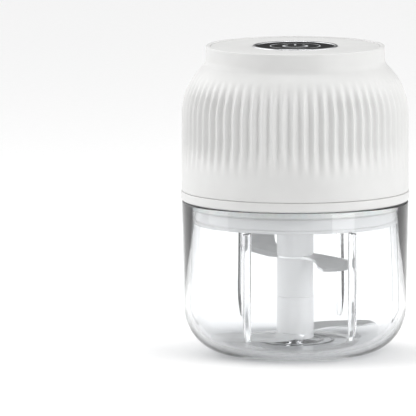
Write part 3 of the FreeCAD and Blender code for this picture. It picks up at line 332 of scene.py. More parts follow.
def vary_colour(material, shader, source, dark, light, low=0.3, high=0.7):
    ramp = add_node(material, "ShaderNodeValToRGB", [("Fac", source)])
    ramp.color_ramp.elements[0].position, ramp.color_ramp.elements[0].color = low, linear(dark)
    ramp.color_ramp.elements[1].position, ramp.color_ramp.elements[1].color = high, linear(light)
    material.node_tree.links.new(shader.inputs["Base Color"], ramp.outputs["Color"])


def relief(material, shader, source, depth_mm, strength=1.0):
    bump = add_node(material, "ShaderNodeBump", [("Height", source)],
                    distance=depth_mm * MM, strength=strength)
    material.node_tree.links.new(shader.inputs["Normal"], bump.outputs["Normal"])


# %% [markdown]
# ### A studio of white walls
# The walls at both sides are white cloth and the wall behind the camera is a dim room, as in a light tent.
# The surroundings' brightness follows the direction: it is strongest to both sides, fair above, and weakest
# ahead and behind. The white shell then turns darker towards its middle and the clear bowl shows its form.

# %% Surroundings
world = bpy.data.worlds.new("light_tent")
world.use_nodes = True
bpy.context.scene.world = world
SIDE_WALLS = (0.974, -0.225, 0.0)
ROOM, WALLS, CEILING = 0.15, 2.3, 0.4
direction = add_node(world, "ShaderNodeTexCoord").outputs["Generated"]


def squared_share(axis, strength):
    """How far a direction points along an axis, squared, times a strength."""
    share = add_node(world, "ShaderNodeVectorMath", [(0, direction)], operation="DOT_PRODUCT")
    share.inputs[1].default_value = axis
    square = add_node(world, "ShaderNodeMath", [(0, share.outputs["Value"]), (1, share.outputs["Value"])],
                      operation="MULTIPLY")
    scaled = add_node(world, "ShaderNodeMath", [(0, square.outputs[0])], operation="MULTIPLY")
    scaled.inputs[1].default_value = strength
    return scaled.outputs[0]


both = add_node(world, "ShaderNodeMath", [(0, squared_share(SIDE_WALLS, WALLS)),
                                          (1, squared_share((0, 0, 1), CEILING))], operation="ADD")
total = add_node(world, "ShaderNodeMath", [(0, both.outputs[0])], operation="ADD")
total.inputs[1].default_value = ROOM
world.node_tree.links.new(world.node_tree.nodes["Background"].inputs["Strength"], total.outputs[0])
world.node_tree.nodes["Background"].inputs["Color"].default_value = (1, 1, 1, 1)

# %% [markdown]
# ### Moulded white ABS
# The housing is injection-moulded ABS with a fine spark-eroded grain, which gives a soft satin white with no
# sharp reflection. The grain is drawn at 0.25 mm, coarser than the real one, so that it shows at all. A broad
# faint mottling stands for the way such a thick white shell never is one exact tone.


# %% Satin white ABS
def satin_white(name, light, dark, roughness, grain=0.25):
    material, shader = new_material(name, light, roughness, ior=1.53)
    fine = pattern(material, grain, detail=2.0)
    broad = pattern(material, 9.0, detail=2.0)
    vary_colour(material, shader, broad.outputs["Fac"], dark, light, 0.25, 0.75)
    vary_roughness(material, shader, fine.outputs["Fac"], roughness - 0.06, roughness + 0.08)
    relief(material, shader, fine.outputs["Fac"], 0.012, 0.6)
    return material


white_abs = satin_white("satin_moulded_white_abs", "#d1d1d0", "#cdcdcc", 0.42)
white_pp = satin_white("moulded_white_polypropylene", "#eeeeee", "#e8e8e8", 0.38, 0.4)
floor_paint, floor_shader = new_material("matte_white_sweep", "#fbfbfb", 0.9)
floor_shader.inputs["Specular IOR Level"].default_value = 0.0
floor_grain = pattern(floor_paint, 3.0)
vary_colour(floor_paint, floor_shader, floor_grain.outputs["Fac"], "#fafafa", "#fcfcfc")
floor.data.materials.append(floor_paint)
print("white plastics made")


# %% [markdown]
# ## The fluted housing
# The housing is a moulded shell with sixty-eight shallow flutes that fade out above and below. Modelling
# every flute would be long, and a bump pattern would leave the outline smooth. So one flute's pitch is spun
# as a narrow sector, each of its rings is pushed in where the flute is, and the sector is then repeated
# round the axis. The flutes are rounded like a cosine, which is what a mould cutter leaves after polishing.

# %% Housing section
FLUTES = 68
SECTOR_STEPS = 8
FIRST_FLUTE = -88.4            # degrees
FLUTE_DEPTH = 1.25             # mm
FADE_HIGH = (HOUSING_TOP - 8.8, HOUSING_TOP - 19.0)    # a flute starts and is full at these heights
FADE_LOW = (HOUSING_TOP - 46.0, HOUSING_TOP - 33.0)
SHELL_RADIUS, SHOULDER, SHOULDER_ARC = 41.8, HOUSING_TOP - 25.0, 23.5
NECK, NECK_ARC, WALL = PANEL_RADIUS + 1.7, 4.0, 2.4


def smoothstep(value, start, end):
    share = min(max((value - start) / (end - start), 0.0), 1.0)
    return share * share * (3 - 2 * share)


def flute_depth(height):
    return FLUTE_DEPTH * smoothstep(height, *FADE_HIGH) * smoothstep(height, *FADE_LOW)


def housing_outline():
    """Outer side upwards, over the rim, and back down inside."""
    centre = (SHELL_RADIUS - SHOULDER_ARC, SHOULDER)
    across = NECK + NECK_ARC - centre[0]
    rise = math.sqrt((SHOULDER_ARC + NECK_ARC) ** 2 - across ** 2)
    lean = math.degrees(math.atan2(rise, across))
    side = [Vector((SHELL_RADIUS, z)) for z in
            (FADE_LOW[0] - 3 + 1.0 * step for step in range(int(SHOULDER - FADE_LOW[0] + 3)))]
    outside = arc((SHELL_RADIUS - 0.35, HOUSING_LOW + 0.35), 0.35, -90, 0, 4) + side
    outside += arc(centre, SHOULDER_ARC, 0, lean, 26)
    outside += arc((NECK + NECK_ARC, SHOULDER + rise), NECK_ARC, lean + 180, 180, 8)[1:]
    outside += [Vector((NECK, HOUSING_TOP - 3)), Vector((NECK, HOUSING_TOP - 0.6))]
    outside += arc((NECK - 0.5, HOUSING_TOP - 0.5), 0.5, 0, 90, 5)
    rim = NECK - 1.6
    inner_arc = SHOULDER_ARC - WALL
    inner_lean = math.degrees(math.acos((NECK - WALL - centre[0]) / inner_arc))
    inside = arc((rim + 0.25, HOUSING_TOP - 0.25), 0.25, 90, 180, 3)
    inside += [Vector((rim, HOUSING_TOP - 2.1)), Vector((rim - 1.8, HOUSING_TOP - 2.1)),
               Vector((rim - 1.8, HOUSING_TOP - 3.6)), Vector((NECK - WALL, HOUSING_TOP - 4.6))]
    inside += arc(centre, inner_arc, inner_lean, 0, 10)
    inside += [Vector((SHELL_RADIUS - WALL, HOUSING_LOW))]
    return outside + inside


# %% One flute as a sector, then sixty-eight of them
outline = housing_outline()
housing = draw_section("housing_shell", outline)
pitch = math.tau / FLUTES
bpy.ops.mesh.select_all(action="SELECT")
bpy.ops.mesh.spin(steps=SECTOR_STEPS, angle=pitch, center=(0, 0, 0), axis=(0, 0, 1))
bpy.ops.mesh.select_all(action="SELECT")
bpy.ops.mesh.remove_doubles(threshold=0.002 * MM)


def turn_of(point):
    """Which of the sector's steps a vertex is on."""
    return round(abs(math.atan2(point.y, point.x)) / pitch * SECTOR_STEPS)


moved = 0
for ring in (p for p in outline if flute_depth(p.y) > 0.005 and p.x > SHELL_RADIUS - 9):
    for share in range(1, SECTOR_STEPS // 2 + 1):
        weight = (1 - math.cos(math.tau * share / SECTOR_STEPS)) / 2
        steps = (share, SECTOR_STEPS - share)
        found = pick(housing, "verts", lambda p, item: abs(p.z - ring.y) < 0.004
                     and abs(math.hypot(p.x, p.y) - ring.x) < 0.02 and turn_of(p) in steps)
        scale = 1 - flute_depth(ring.y) * weight / ring.x
        if found:
            bpy.ops.transform.resize(value=(scale, scale, 1), center_override=(0, 0, 0))
            moved += found
bpy.ops.mesh.select_all(action="SELECT")
bpy.ops.mesh.spin(steps=FLUTES - 1, dupli=True, angle=math.tau - pitch, center=(0, 0, 0), axis=(0, 0, 1))
bpy.ops.mesh.select_all(action="SELECT")
bpy.ops.mesh.remove_doubles(threshold=0.002 * MM)
bpy.ops.mesh.normals_make_consistent(inside=False)
bpy.ops.object.mode_set(mode="OBJECT")
housing.rotation_euler.z = math.radians(FIRST_FLUTE) - pitch / 2
print("vertices pushed in for one flute:", moved)

# %% [markdown]
# The charging socket sits behind a soft cover at the back. Its window and its recess are cut with two
# rounded blocks, as the mould's slides would leave them.


# %% Window and recess at the back
def rounded_block(name, low, high, corner, axis=1, steps=4):
    """A block between two corners in mm, with the edges that run along one axis rounded."""
    clear_selection()
    low, high = Vector(low) * MM, Vector(high) * MM
    bpy.ops.mesh.primitive_cube_add(size=1, location=(low + high) / 2, scale=high - low)
    block = bpy.context.object
    block.name = block.data.name = name
    bpy.ops.object.transform_apply(location=True, rotation=True, scale=True)
    edit(block)
    bpy.ops.mesh.select_mode(type="EDGE")
    pick(block, "edges", lambda p, edge: abs((edge.verts[0].co - edge.verts[1].co).normalized()[axis]) > 0.9)
    bpy.ops.mesh.bevel(offset=corner * MM, segments=steps, profile=0.5)
    bpy.ops.mesh.select_mode(type="VERT")
    bpy.ops.object.mode_set(mode="OBJECT")
    return block


def cut(piece, tool):
    modify(piece, "BOOLEAN", operation="DIFFERENCE", object=tool, solver="EXACT")
    bpy.data.objects.remove(tool)


cover_low, cover_high = (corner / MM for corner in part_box("port_cover"))
port_low, port_high = (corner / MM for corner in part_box("charge_port"))
GAP = 0.25
cut(housing, rounded_block("recess", (cover_low.x - GAP, cover_low.y - 0.25, cover_low.z - GAP),
                           (cover_high.x + GAP, SHELL_RADIUS + 2, cover_high.z + GAP), 1.4))
cut(housing, rounded_block("window", (port_low.x - GAP, SHELL_RADIUS - WALL - 2, port_low.z - GAP),
                           (port_high.x + GAP, SHELL_RADIUS + 2, port_high.z + GAP), 1.2))
housing.data.materials.append(white_abs)
finish(housing, "motor_unit", "motor_housing")

# %% [markdown]
# ## Lip and underside
# The motor unit's underside is one moulding: a lip that overhangs the bowl, a spigot that centres it in the
# bowl's mouth, and a floor with four sunk screw holes. It is spun from its half section, and the screw
# holes are cut by four short cylinders.

# %% Base cover
SPIGOT_LOW = level("base_cover", 0)
COVER_LOW, COVER_TOP = level("shaft_seal", 0), level("shaft_seal", 1)
LIP_RADIUS, SPIGOT_RADIUS, SPIGOT_WALL = radius("base_cover"), radius("seal_ring") - 0.3, 1.2
GROOVE_RADIUS = SPIGOT_RADIUS - 0.6
SEAL_LOW, SEAL_TOP = level("seal_ring", 0), level("seal_ring", 1)
SEAL_BORE = radius("shaft_seal") + 0.02
base_section = rounded([
    (SEAL_BORE, COVER_LOW), (SPIGOT_RADIUS - SPIGOT_WALL, COVER_LOW, 0.4),
    (SPIGOT_RADIUS - SPIGOT_WALL, SPIGOT_LOW, 0.3), (SPIGOT_RADIUS, SPIGOT_LOW, 0.4),
    (SPIGOT_RADIUS, SEAL_LOW), (GROOVE_RADIUS, SEAL_LOW), (GROOVE_RADIUS, SEAL_TOP),
    (SPIGOT_RADIUS, SEAL_TOP), (SPIGOT_RADIUS, LIP_LOW, 0.3), (LIP_RADIUS, LIP_LOW, 1.1, 8),
    (LIP_RADIUS, HOUSING_LOW - 0.05, 0.35), (SHELL_RADIUS - WALL - 0.15, HOUSING_LOW - 0.05),
    (SHELL_RADIUS - WALL - 0.15, HOUSING_LOW + 0.9, 0.2), (SHELL_RADIUS - WALL - 1.05, HOUSING_LOW + 0.9),
    (SHELL_RADIUS - WALL - 1.05, COVER_TOP), (SEAL_BORE, COVER_TOP),
])
base = spin("motor_unit_underside", base_section)
SCREW_HEAD, HEAD_CLEARANCE, HEAD_SINK = 2.3, 0.12, 3.0
SHANK_HOLE, SHANK_DEPTH = 1.25, 12.0
SCREW_CIRCLE = math.sqrt(2) * (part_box("case_screws")[1].x / MM - SCREW_HEAD)
for number in range(4):
    turn = math.radians(45 + 90 * number)
    side = Vector((math.cos(turn), math.sin(turn), 0))
    clear_selection()
    place = (side * SCREW_CIRCLE + Vector((0, 0, COVER_LOW))) * MM
    bpy.ops.mesh.primitive_cylinder_add(vertices=32, radius=(SCREW_HEAD + HEAD_CLEARANCE) * MM,
                                        depth=HEAD_SINK * MM, location=place)
    cut(base, bpy.context.object)
    clear_selection()
    bpy.ops.mesh.primitive_cylinder_add(vertices=24, radius=SHANK_HOLE * MM, depth=SHANK_DEPTH * MM,
                                        location=place)
    cut(base, bpy.context.object)
base.data.materials.append(white_abs)
finish(base, "motor_unit", "base_cover")

# %% [markdown]
# ## Top panel, bright ring and button
# The panel drops into the neck's rim and leaves a fine dark line there. In its middle a bright ring frames a
# black button. The button's face is dished by a fraction of a millimetre, so that a thumb finds it.

# %% Top panel with its well and posts
WELL_TOP, WELL_LOW = level("button_ring", 0), PANEL_TOP - 3.6
STEM_HOLE = 3.4
WELL_OUTER, WELL_INNER = RING_RADIUS + 1.45, RING_RADIUS + 0.05
PANEL_LOW = PANEL_TOP - 1.8
panel = spin("panel_disc", rounded([
    (STEM_HOLE, WELL_LOW), (WELL_OUTER, WELL_LOW, 0.3), (WELL_OUTER, PANEL_LOW),
    (PANEL_RADIUS, PANEL_LOW), (PANEL_RADIUS, PANEL_TOP, 0.35, 5), (WELL_INNER, PANEL_TOP, 0.15, 3),
    (WELL_INNER, WELL_TOP), (STEM_HOLE, WELL_TOP),
]))
POST_RADIUS, POST_CIRCLE = 2.4, 24
POST_LOW, POST_TOP = level("top_panel", 0), PANEL_TOP - 1.3
for number in range(3):
    turn = math.radians(30 + 120 * number)
    place = Vector((POST_CIRCLE * math.cos(turn), POST_CIRCLE * math.sin(turn), (POST_TOP + POST_LOW) / 2))
    clear_selection()
    bpy.ops.mesh.primitive_cylinder_add(
        vertices=40, radius=POST_RADIUS * MM, depth=(POST_TOP - POST_LOW) * MM, location=place * MM)
    post = bpy.context.object
    modify(post, "BEVEL", width=0.2 * MM, segments=2, limit_method="ANGLE")
    modify(panel, "BOOLEAN", operation="UNION", object=post, solver="EXACT")
    bpy.data.objects.remove(post)
panel.data.materials.append(white_abs)
finish(panel, "motor_unit", "top_panel")

# %% [markdown]
# ### Chromed trim
# The ring is ABS with a bright chromium plate. The plate is a mirror, but it follows the moulding under it,
# so a faint long ripple and a few hundredths of roughness keep it from looking like liquid metal.

# %% Chromed ring
chrome, chrome_shader = new_material("bright_chromium_plate", "#c9cacc", 0.12, metallic=1.0)
ripple = pattern(chrome, 2.5, detail=1.0)
vary_roughness(chrome, chrome_shader, ripple.outputs["Fac"], 0.08, 0.18)
relief(chrome, chrome_shader, ripple.outputs["Fac"], 0.01, 0.3)
RING_INNER = BUTTON_RADIUS + 0.25
ring = spin("bright_ring", rounded([
    (RING_INNER, WELL_TOP), (RING_RADIUS, WELL_TOP), (RING_RADIUS, HOUSING_TOP, 0.4, 6),
    (RING_INNER, HOUSING_TOP, 0.4, 6),
]))
ring.data.materials.append(chrome)
finish(ring, "motor_unit", "button_ring", smooth=50.0)

# %% [markdown]
# ### Satin black button
# The button is moulded in black plastic with hardly any shine, so that it stays black at a low angle too. Use
# leaves faint hairline wear, which changes the roughness and the tone a little.

# %% Button with a power mark
satin_black, black_shader = new_material("satin_moulded_black_plastic", "#0b0b0c", 0.3, ior=1.5)
black_shader.inputs["Specular IOR Level"].default_value = 0.02
hairlines = pattern(satin_black, 0.6, detail=4.0, stretch=(1, 12, 1))
vary_roughness(satin_black, black_shader, hairlines.outputs["Fac"], 0.25, 0.4)
vary_colour(satin_black, black_shader, hairlines.outputs["Fac"], "#09090a", "#101012")
PLUNGER_TOP = level("switch_plunger", 1)
BUTTON_LOW = BUTTON_TOP - 1.6
UNDERSIDE_OF_DISC = BUTTON_LOW + 0.4
STEM_RADIUS, SKIRT, DISH, BUTTON_EDGE = 3.0, 1.0, 0.12, 0.45
button_section = [Vector((0, PLUNGER_TOP)), Vector((STEM_RADIUS, PLUNGER_TOP)),
                  Vector((STEM_RADIUS, UNDERSIDE_OF_DISC)),
                  Vector((BUTTON_RADIUS - SKIRT, UNDERSIDE_OF_DISC)),
                  Vector((BUTTON_RADIUS - SKIRT, BUTTON_LOW)), Vector((BUTTON_RADIUS, BUTTON_LOW))]
button_section += arc((BUTTON_RADIUS - BUTTON_EDGE, BUTTON_TOP - BUTTON_EDGE), BUTTON_EDGE, 0, 90, 6)
button_section += [Vector((BUTTON_RADIUS * share, BUTTON_TOP - DISH * (1 - share ** 2)))
                   for share in (0.85, 0.7, 0.5, 0.3, 0.15, 0.0)]
button = spin("push_button", button_section)
button.data.materials.append(satin_black)
finish(button, "button", "power_button")

# %% [markdown]
# The mark on the button is the usual power sign: a ring that is open at the top, with a bar in the gap, and
# a thinner ring round it. It is a printed film a few hundredths of a millimetre thick.

# %% Printed marks
print_grey, print_shader = new_material("screen_printed_grey_ink", "#c4c6c8", 0.45, ior=1.5)
ink_grain = pattern(print_grey, 0.15, detail=2.0)
vary_colour(print_grey, print_shader, ink_grain.outputs["Fac"], "#b4b6b8", "#d0d2d4")


def printed_arc(name, middle_radius, width, first, last, steps=72):
    """A flat ring segment: a short edge spun about the button's middle, then given its thickness."""
    clear_selection()
    low = BUTTON_TOP - DISH * (1 - (middle_radius / BUTTON_RADIUS) ** 2)
    bpy.ops.mesh.primitive_plane_add(size=MM)
    mark = bpy.context.object
    mark.name = mark.data.name = name
    bpy.ops.object.mode_set(mode="EDIT")
    bpy.ops.mesh.select_all(action="SELECT")
    bpy.ops.mesh.merge(type="CENTER")
    start = Vector((math.cos(math.radians(first)), math.sin(math.radians(first)), 0))
    bpy.ops.transform.translate(value=(start * (middle_radius - width / 2) + Vector((0, 0, low))) * MM)
    bpy.ops.mesh.extrude_region_move(TRANSFORM_OT_translate={"value": start * width * MM})
    bpy.ops.mesh.select_all(action="SELECT")
    bpy.ops.mesh.spin(steps=steps, angle=math.radians(first - last), center=(0, 0, 0), axis=(0, 0, 1))
    bpy.ops.mesh.select_all(action="SELECT")
    bpy.ops.mesh.remove_doubles(threshold=0.002 * MM)
    bpy.ops.mesh.normals_make_consistent(inside=False)
    bpy.ops.object.mode_set(mode="OBJECT")
    modify(mark, "SOLIDIFY", thickness=0.05 * MM, offset=0.0)
    mark.data.materials.append(print_grey)
    return finish(mark, "button")


printed_arc("power_mark_ring", 4.4, 0.75, 128, 412)
printed_arc("power_mark_border", 9.2, 0.3, 0, 360, 120)
clear_selection()
stem_low = BUTTON_TOP - DISH + 0.02
bpy.ops.mesh.primitive_cube_add(size=MM, location=(0, 4.2 * MM, stem_low * MM), scale=(0.75, 3.4, 0.05))
stem = bpy.context.object
stem.name = stem.data.name = "power_mark_bar"
bpy.ops.object.transform_apply(location=True, rotation=True, scale=True)
modify(stem, "BEVEL", width=0.02 * MM, segments=1)
stem.data.materials.append(print_grey)
finish(stem, "button")

# %% [markdown]
# ## The bowl
# The bowl is injection-moulded clear copolyester with polished walls. It is spun as one closed section, its
# outer and inner skins both present, because a clear wall gets its bright and dark edge lines from light
# that bends at both skins. Six ribs inside carry the baffle. Each is drawn as an outline, given its
# thickness, and joined to the wall, so that no skin is left inside the plastic.

# %% Bowl section
WALL_THICK, FLOOR_THICK, CORNER = 2.0, 2.5, 17.0
DRAFT = 0.75                   # how much narrower the wall is above the corner than at the rim, mm
CORNER_CENTRE = BOWL_RADIUS - DRAFT - CORNER
PIN_RADIUS = radius("spindle_pin")
BOSS_RADIUS, BOSS_TOP, RECESS = 5.5, level("spindle_bush", 0) - PARTING_GAP, 0.8
INNER_ARC = CORNER - WALL_THICK
bowl_outline = [Vector((PIN_RADIUS, RECESS)), Vector((CORNER_CENTRE - 4.6, RECESS))]
bowl_outline += arc((CORNER_CENTRE - 4.0, 0.4), 0.4, 180, 270, 4)
bowl_outline += arc((CORNER_CENTRE, CORNER), CORNER, -90, 0, 28)
bowl_outline += arc((BOWL_RADIUS - 0.6, BOWL_TOP - 0.6), 0.6, 0, 90, 5)
bowl_outline += arc((BOWL_RADIUS - WALL_THICK + 0.4, BOWL_TOP - 0.4), 0.4, 90, 180, 4)
bowl_outline += arc((CORNER_CENTRE, FLOOR_THICK + INNER_ARC), INNER_ARC, 0, -90, 28)
for ring_inner in (13.5, 9.5):
    bowl_outline += arc((ring_inner + 0.6, FLOOR_THICK - 0.1), 0.6, 10, 170, 8)
bowl_outline += arc((BOSS_RADIUS + 0.4, FLOOR_THICK + 0.4), 0.4, -90, -180, 3)
bowl_outline += arc((BOSS_RADIUS - 0.3, BOSS_TOP - 0.3), 0.3, 0, 90, 3)
bowl_outline += [Vector((PIN_RADIUS, BOSS_TOP))]
bowl = spin("clear_bowl", bowl_outline, steps=256)

# %% Ribs
RIB_COUNT, RIB_PHASE, RIB_THICK, RIB_INNER = 6, 2.8, 2.2, 36.45
RIB_TOP = level("food_baffle", 0) - PARTING_GAP
rib_foot = FLOOR_THICK + INNER_ARC - math.sqrt(INNER_ARC ** 2 - (RIB_INNER - CORNER_CENTRE) ** 2)
for number in range(RIB_COUNT):
    rib = draw_section(f"rib_{number}", rounded([
        (RIB_INNER, rib_foot - 1.0), (40.0, FLOOR_THICK + INNER_ARC - 2.0), (40.0, RIB_TOP),
        (RIB_INNER, RIB_TOP, 0.9, 5)]))
    bpy.ops.mesh.select_all(action="SELECT")
    bpy.ops.mesh.edge_face_add()
    bpy.ops.transform.translate(value=(0, -RIB_THICK / 2 * MM, 0))
    bpy.ops.mesh.extrude_region_move(TRANSFORM_OT_translate={"value": (0, RIB_THICK * MM, 0)})
    bpy.ops.mesh.select_all(action="SELECT")
    bpy.ops.mesh.normals_make_consistent(inside=False)
    bpy.ops.object.mode_set(mode="OBJECT")
    modify(rib, "BEVEL", width=0.35 * MM, segments=3, limit_method="ANGLE")
    rib.rotation_euler.z = math.radians(RIB_PHASE + 360 / RIB_COUNT * number)
    modify(bowl, "BOOLEAN", operation="UNION", object=rib, solver="EXACT")
    bpy.data.objects.remove(rib)

# %% [markdown]
# ### Clear copolyester
# Copolyester bends light a little more than acrylic (1.57). Clear plastic costs a renderer a great many
# paths, and its shadow would be black without caustics, so shadow rays pass straight through it.

# %% Clear plastic
clear_plastic, clear_shader = new_material("clear_moulded_copolyester", "#fbfcfd", 0.02, ior=1.57)
clear_shader.inputs["Transmission Weight"].default_value = 1.0
sink_marks = pattern(clear_plastic, 14.0, detail=1.0)
vary_roughness(clear_plastic, clear_shader, sink_marks.outputs["Fac"], 0.0, 0.05)
relief(clear_plastic, clear_shader, sink_marks.outputs["Fac"], 0.05, 0.12)
passing = add_node(clear_plastic, "ShaderNodeBsdfTransparent")
passing.inputs["Color"].default_value = linear("#f6f7f8")
rays = add_node(clear_plastic, "ShaderNodeLightPath")
blend = add_node(clear_plastic, "ShaderNodeMixShader", [("Fac", rays.outputs["Is Shadow Ray"])])
clear_plastic.node_tree.links.new(blend.inputs[1], clear_shader.outputs["BSDF"])
clear_plastic.node_tree.links.new(blend.inputs[2], passing.outputs["BSDF"])
clear_plastic.node_tree.links.new(
    clear_plastic.node_tree.nodes["Material Output"].inputs["Surface"], blend.outputs["Shader"])
bowl.data.materials.append(clear_plastic)
finish(bowl, "bowl", "bowl")

# %% [markdown]
# ## Baffle and column
# The baffle is a white cap with a flange that rests on the ribs, and a collar round its hole. The column is
# three sleeves stacked on one core, so a fine seam shows where each blade or sleeve begins. Rounded ends on
# the sleeves draw those seams as real grooves.

# %% Food baffle
BAFFLE_LOW, BAFFLE_TOP = level("food_baffle", 0), level("food_baffle", 1)
FLANGE = radius("food_baffle")
HOLE, CAP_RADIUS, SKIRT_RADIUS = 7.5, FLANGE - 1.35, FLANGE - 0.85
UNDERSIDE = BAFFLE_TOP - 1.5
baffle = spin("baffle_cap", rounded([
    (HOLE, UNDERSIDE - 1.8, 0.3), (HOLE + 1.4, UNDERSIDE - 1.8, 0.3), (HOLE + 1.4, UNDERSIDE, 0.4),
    (CAP_RADIUS - 1.4, UNDERSIDE, 0.8), (SKIRT_RADIUS - 1.4, BAFFLE_LOW, 0.2), (FLANGE, BAFFLE_LOW, 0.4),
    (FLANGE, BAFFLE_LOW + 1.2, 0.4), (SKIRT_RADIUS, BAFFLE_LOW + 1.2, 0.2),
    (CAP_RADIUS, BAFFLE_TOP, 1.3, 8), (HOLE, BAFFLE_TOP, 0.5),
]))
baffle.data.materials.append(white_pp)
finish(baffle, "baffle", "food_baffle")


# %% Column sleeves
def sleeve(name, node, inner, end_round=0.22):
    low, high, outer = level(node, 0), level(node, 1), radius(node)
    piece = spin(name, rounded([
        (inner, low), (outer, low, end_round, 4), (outer, high, end_round, 4), (inner, high)]), steps=96)
    piece.data.materials.append(white_pp)
    return finish(piece, "cutter", node)


CORE = 4.8
sleeve("column_sleeve_low", "column_lower", CORE)
sleeve("column_sleeve_middle", "column_middle", CORE)
upper_low, upper_high = level("column_upper", 0), level("column_upper", 1)
upper_radius = radius("column_upper")
SOCKET_WALL, SOCKET_FLOOR = 1.25, level("drive_socket", 0)
CORE_TOP = level("column_core", 1)
upper_sleeve = spin("column_sleeve_top", rounded([
    (CORE, upper_low), (upper_radius, upper_low, 0.22, 4), (upper_radius, upper_high, 0.6, 6),
    (upper_radius - SOCKET_WALL, upper_high, 0.2, 3), (upper_radius - SOCKET_WALL, SOCKET_FLOOR),
    (0, SOCKET_FLOOR), (0, CORE_TOP), (CORE, CORE_TOP),
]), steps=96)
upper_sleeve.data.materials.append(white_pp)
finish(upper_sleeve, "cutter", "column_upper")

# %% [markdown]
# ## Finishes for the pieces that keep their shape
# The blades, the drive train, the boards and the screws have their right shape in the frame already, so they
# only get a material. Each material starts from the metal or plastic that such a piece is really made of.
#
# The blades are stamped stainless steel with a brushed face. Brushing runs one way, so its scratches are a
# noise pattern squeezed thirty times across it.


# %% Metals
def metal(name, colour, dark, low, high, grain_mm, stretch=(1, 1, 1), depth_mm=0.006):
    """A bare metal: a tint that wanders a little, roughness between two values, and a fine relief."""
    material, shader = new_material(name, colour, low, metallic=1.0)
    grain = pattern(material, grain_mm, detail=4.0, stretch=stretch)
    broad = pattern(material, 6.0, detail=2.0)
    vary_colour(material, shader, broad.outputs["Fac"], dark, colour, 0.3, 0.7)
    vary_roughness(material, shader, grain.outputs["Fac"], low, high)
    relief(material, shader, grain.outputs["Fac"], depth_mm, 0.5)
    return material


blade_steel = metal("brushed_stainless_steel", "#ececec", "#dfe0e0", 0.28, 0.42, 2.4, (1, 30, 1))
pin_steel = metal("ground_stainless_steel", "#cfd0d1", "#bfc1c3", 0.12, 0.25, 1.2, (1, 1, 20))
zinc_screw = metal("zinc_plated_steel", "#b9bcc2", "#9fa4ab", 0.22, 0.4, 0.5)
sintered_bronze = metal("sintered_bronze", "#a9854f", "#8a6a3c", 0.42, 0.62, 0.22, depth_mm=0.02)
nickel_strip = metal("rolled_nickel_strip", "#c6c3bb", "#b3b0a7", 0.2, 0.36, 1.5, (1, 14, 1))
drawn_steel = metal("deep_drawn_zinced_steel", "#a8abae", "#8f9396", 0.26, 0.42, 1.5, (1, 1, 12))
lamination_steel = metal("stacked_silicon_steel", "#6f7377", "#55595d", 0.35, 0.55, 0.5, (0.02, 0.02, 1))
spring_steel = metal("drawn_spring_steel", "#9a9da0", "#7d8184", 0.2, 0.35, 0.8, (1, 1, 8))
hard_copper = metal("turned_hard_copper", "#c27c4f", "#a4633a", 0.2, 0.38, 0.4, (1, 1, 12))
ferrite = metal("sintered_ferrite", "#3a3b3e", "#2c2d30", 0.5, 0.7, 0.2, depth_mm=0.02)

# %% [markdown]
# The inner plastics are matte: glass-filled nylon shows its fibres as a fine streak, acetal is waxy, and the
# dark cases are plain spark-eroded plastic. Silicone is a soft, slightly dusty rubber that lets light in.


# %% Plastics, rubber and boards
def plastic(name, colour, dark, low, high, grain_mm, stretch=(1, 1, 1), depth_mm=0.015, **settings):
    material, shader = new_material(name, colour, low, **settings)
    grain = pattern(material, grain_mm, detail=3.0, stretch=stretch)
    vary_colour(material, shader, grain.outputs["Fac"], dark, colour, 0.3, 0.7)
    vary_roughness(material, shader, grain.outputs["Fac"], low, high)
    relief(material, shader, grain.outputs["Fac"], depth_mm, 0.5)
    return material


fibre_nylon = plastic("glass_filled_moulded_nylon", "#d9d6cd", "#c9c5ba", 0.42, 0.6, 0.5, (1, 1, 6), ior=1.53)
acetal = plastic("machined_white_acetal", "#efeee9", "#e4e2dc", 0.3, 0.45, 0.6, ior=1.48)
dark_case = plastic("spark_eroded_black_plastic", "#1d1e20", "#151617", 0.45, 0.62, 0.25, ior=1.53)
white_silicone = plastic("translucent_white_silicone", "#f0f0ee", "#e6e6e3", 0.5, 0.66, 0.8,
                         ior=1.41, subsurface_weight=0.15, subsurface_scale=0.002)
cell_wrap = plastic("shrunk_pvc_sleeve", "#3f7fb0", "#356f9c", 0.22, 0.36, 1.8, (1, 1, 5), ior=1.54)
board_mask = plastic("solder_mask_on_glass_epoxy", "#1f6b3f", "#185732", 0.28, 0.42, 0.7, ior=1.55)


PAD_SCATTER, PAD_SIZE = 0.25, 0.22      # shares of the pads' pitch


def plated_pads(material, pitch_mm=2.5):
    """Round tinned pads in a grid on a board's mask: a small circle repeated at the pitch of its parts."""
    shader = material.node_tree.nodes["Principled BSDF"]
    mask_colour = shader.inputs["Base Color"].links[0].from_socket
    dots = pattern(material, pitch_mm, kind="ShaderNodeTexVoronoi")
    dots.inputs["Randomness"].default_value = PAD_SCATTER
    inside = add_node(material, "ShaderNodeMath", operation="LESS_THAN")
    material.node_tree.links.new(inside.inputs[0], dots.outputs["Distance"])
    inside.inputs[1].default_value = PAD_SIZE
    mix = add_node(material, "ShaderNodeMix", data_type="RGBA")
    material.node_tree.links.new(mix.inputs["Factor"], inside.outputs[0])
    material.node_tree.links.new(mix.inputs[6], mask_colour)
    mix.inputs[7].default_value = linear("#c9c6bb")
    material.node_tree.links.new(shader.inputs["Base Color"], mix.outputs[2])


plated_pads(board_mask)

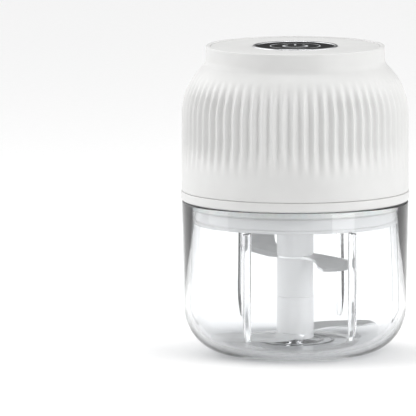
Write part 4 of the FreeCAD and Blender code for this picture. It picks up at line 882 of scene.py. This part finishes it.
# %% Give every kept piece its material
FINISHES = {
    blade_steel: ("lower_blade", "upper_blade"),
    pin_steel: ("spindle_pin", "rotor_shaft", "planet_pins"),
    zinc_screw: ("case_screws", "gearbox_screws", "motor_screws", "board_screws"),
    sintered_bronze: ("spindle_bush", "motor_bushes", "output_bush", "sun_gear"),
    nickel_strip: ("battery_tabs", "charge_port"),
    drawn_steel: ("motor_can",),
    lamination_steel: ("armature",),
    hard_copper: ("commutator",),
    ferrite: ("motor_magnets",),
    white_pp: ("column_core",),
    fibre_nylon: ("gearbox_case", "gearbox_lid", "drive_coupling", "drive_socket"),
    acetal: ("ring_gear", "planet_carrier", "planet_gear_1", "planet_gear_2", "planet_gear_3"),
    dark_case: ("tact_switch", "switch_plunger", "motor_end_cap", "battery_holder"),
    white_silicone: ("seal_ring", "shaft_seal", "port_cover"),
    cell_wrap: ("battery_cell",),
    board_mask: ("control_board", "charge_board"),
}
for material, names in FINISHES.items():
    for name in names:
        slots = nodes[name].data.materials
        slots.clear()
        slots.append(material)
print(sum(len(names) for names in FINISHES.values()), "pieces keep their shape")

# %% [markdown]
# ## Return spring
# The spring under the button is wound from square wire, as a cone whose turns lie in each other when it
# closes. A small square is turned up a screw line while it moves outwards.

# %% Spring of square wire
SPRING_LOW, SPRING_TOP = level("button_spring", 0), level("button_spring", 1)
WIRE, TURNS, FIRST_TURN, WIDENING, TURN_STEPS = 0.6, 2.5, 4.2, 0.75, 48
RISE = (SPRING_TOP - SPRING_LOW - WIRE) / (TURNS * TURN_STEPS)
WIRE_EDGE = 0.08
wire_in, wire_out = FIRST_TURN - WIRE / 2, FIRST_TURN + WIRE / 2
spring = draw_section("return_spring", rounded([
    (wire_in, SPRING_LOW, WIRE_EDGE, 2), (wire_out, SPRING_LOW, WIRE_EDGE, 2),
    (wire_out, SPRING_LOW + WIRE, WIRE_EDGE, 2), (wire_in, SPRING_LOW + WIRE, WIRE_EDGE, 2)]))
bpy.ops.mesh.select_all(action="SELECT")
bpy.ops.mesh.edge_face_add()
step_angle = math.tau / TURN_STEPS
for step in range(int(TURNS * TURN_STEPS)):
    bpy.ops.mesh.extrude_region_move()
    bpy.ops.transform.rotate(value=-step_angle, orient_axis="Z", center_override=(0, 0, 0))
    turn = (step + 1) * step_angle
    outwards = Vector((math.cos(turn), math.sin(turn), 0))
    move = outwards * WIDENING / TURN_STEPS + Vector((0, 0, RISE))
    bpy.ops.transform.translate(value=move * MM)
bpy.ops.mesh.select_all(action="SELECT")
bpy.ops.mesh.normals_make_consistent(inside=False)
bpy.ops.object.mode_set(mode="OBJECT")
spring.data.materials.append(spring_steel)
finish(spring, "motor_unit", "button_spring", smooth=40.0)
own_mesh(spring)
print(f"spring from {SPRING_LOW:.2f} to {max(v.co.z for v in spring.data.vertices) / MM:.2f} mm")
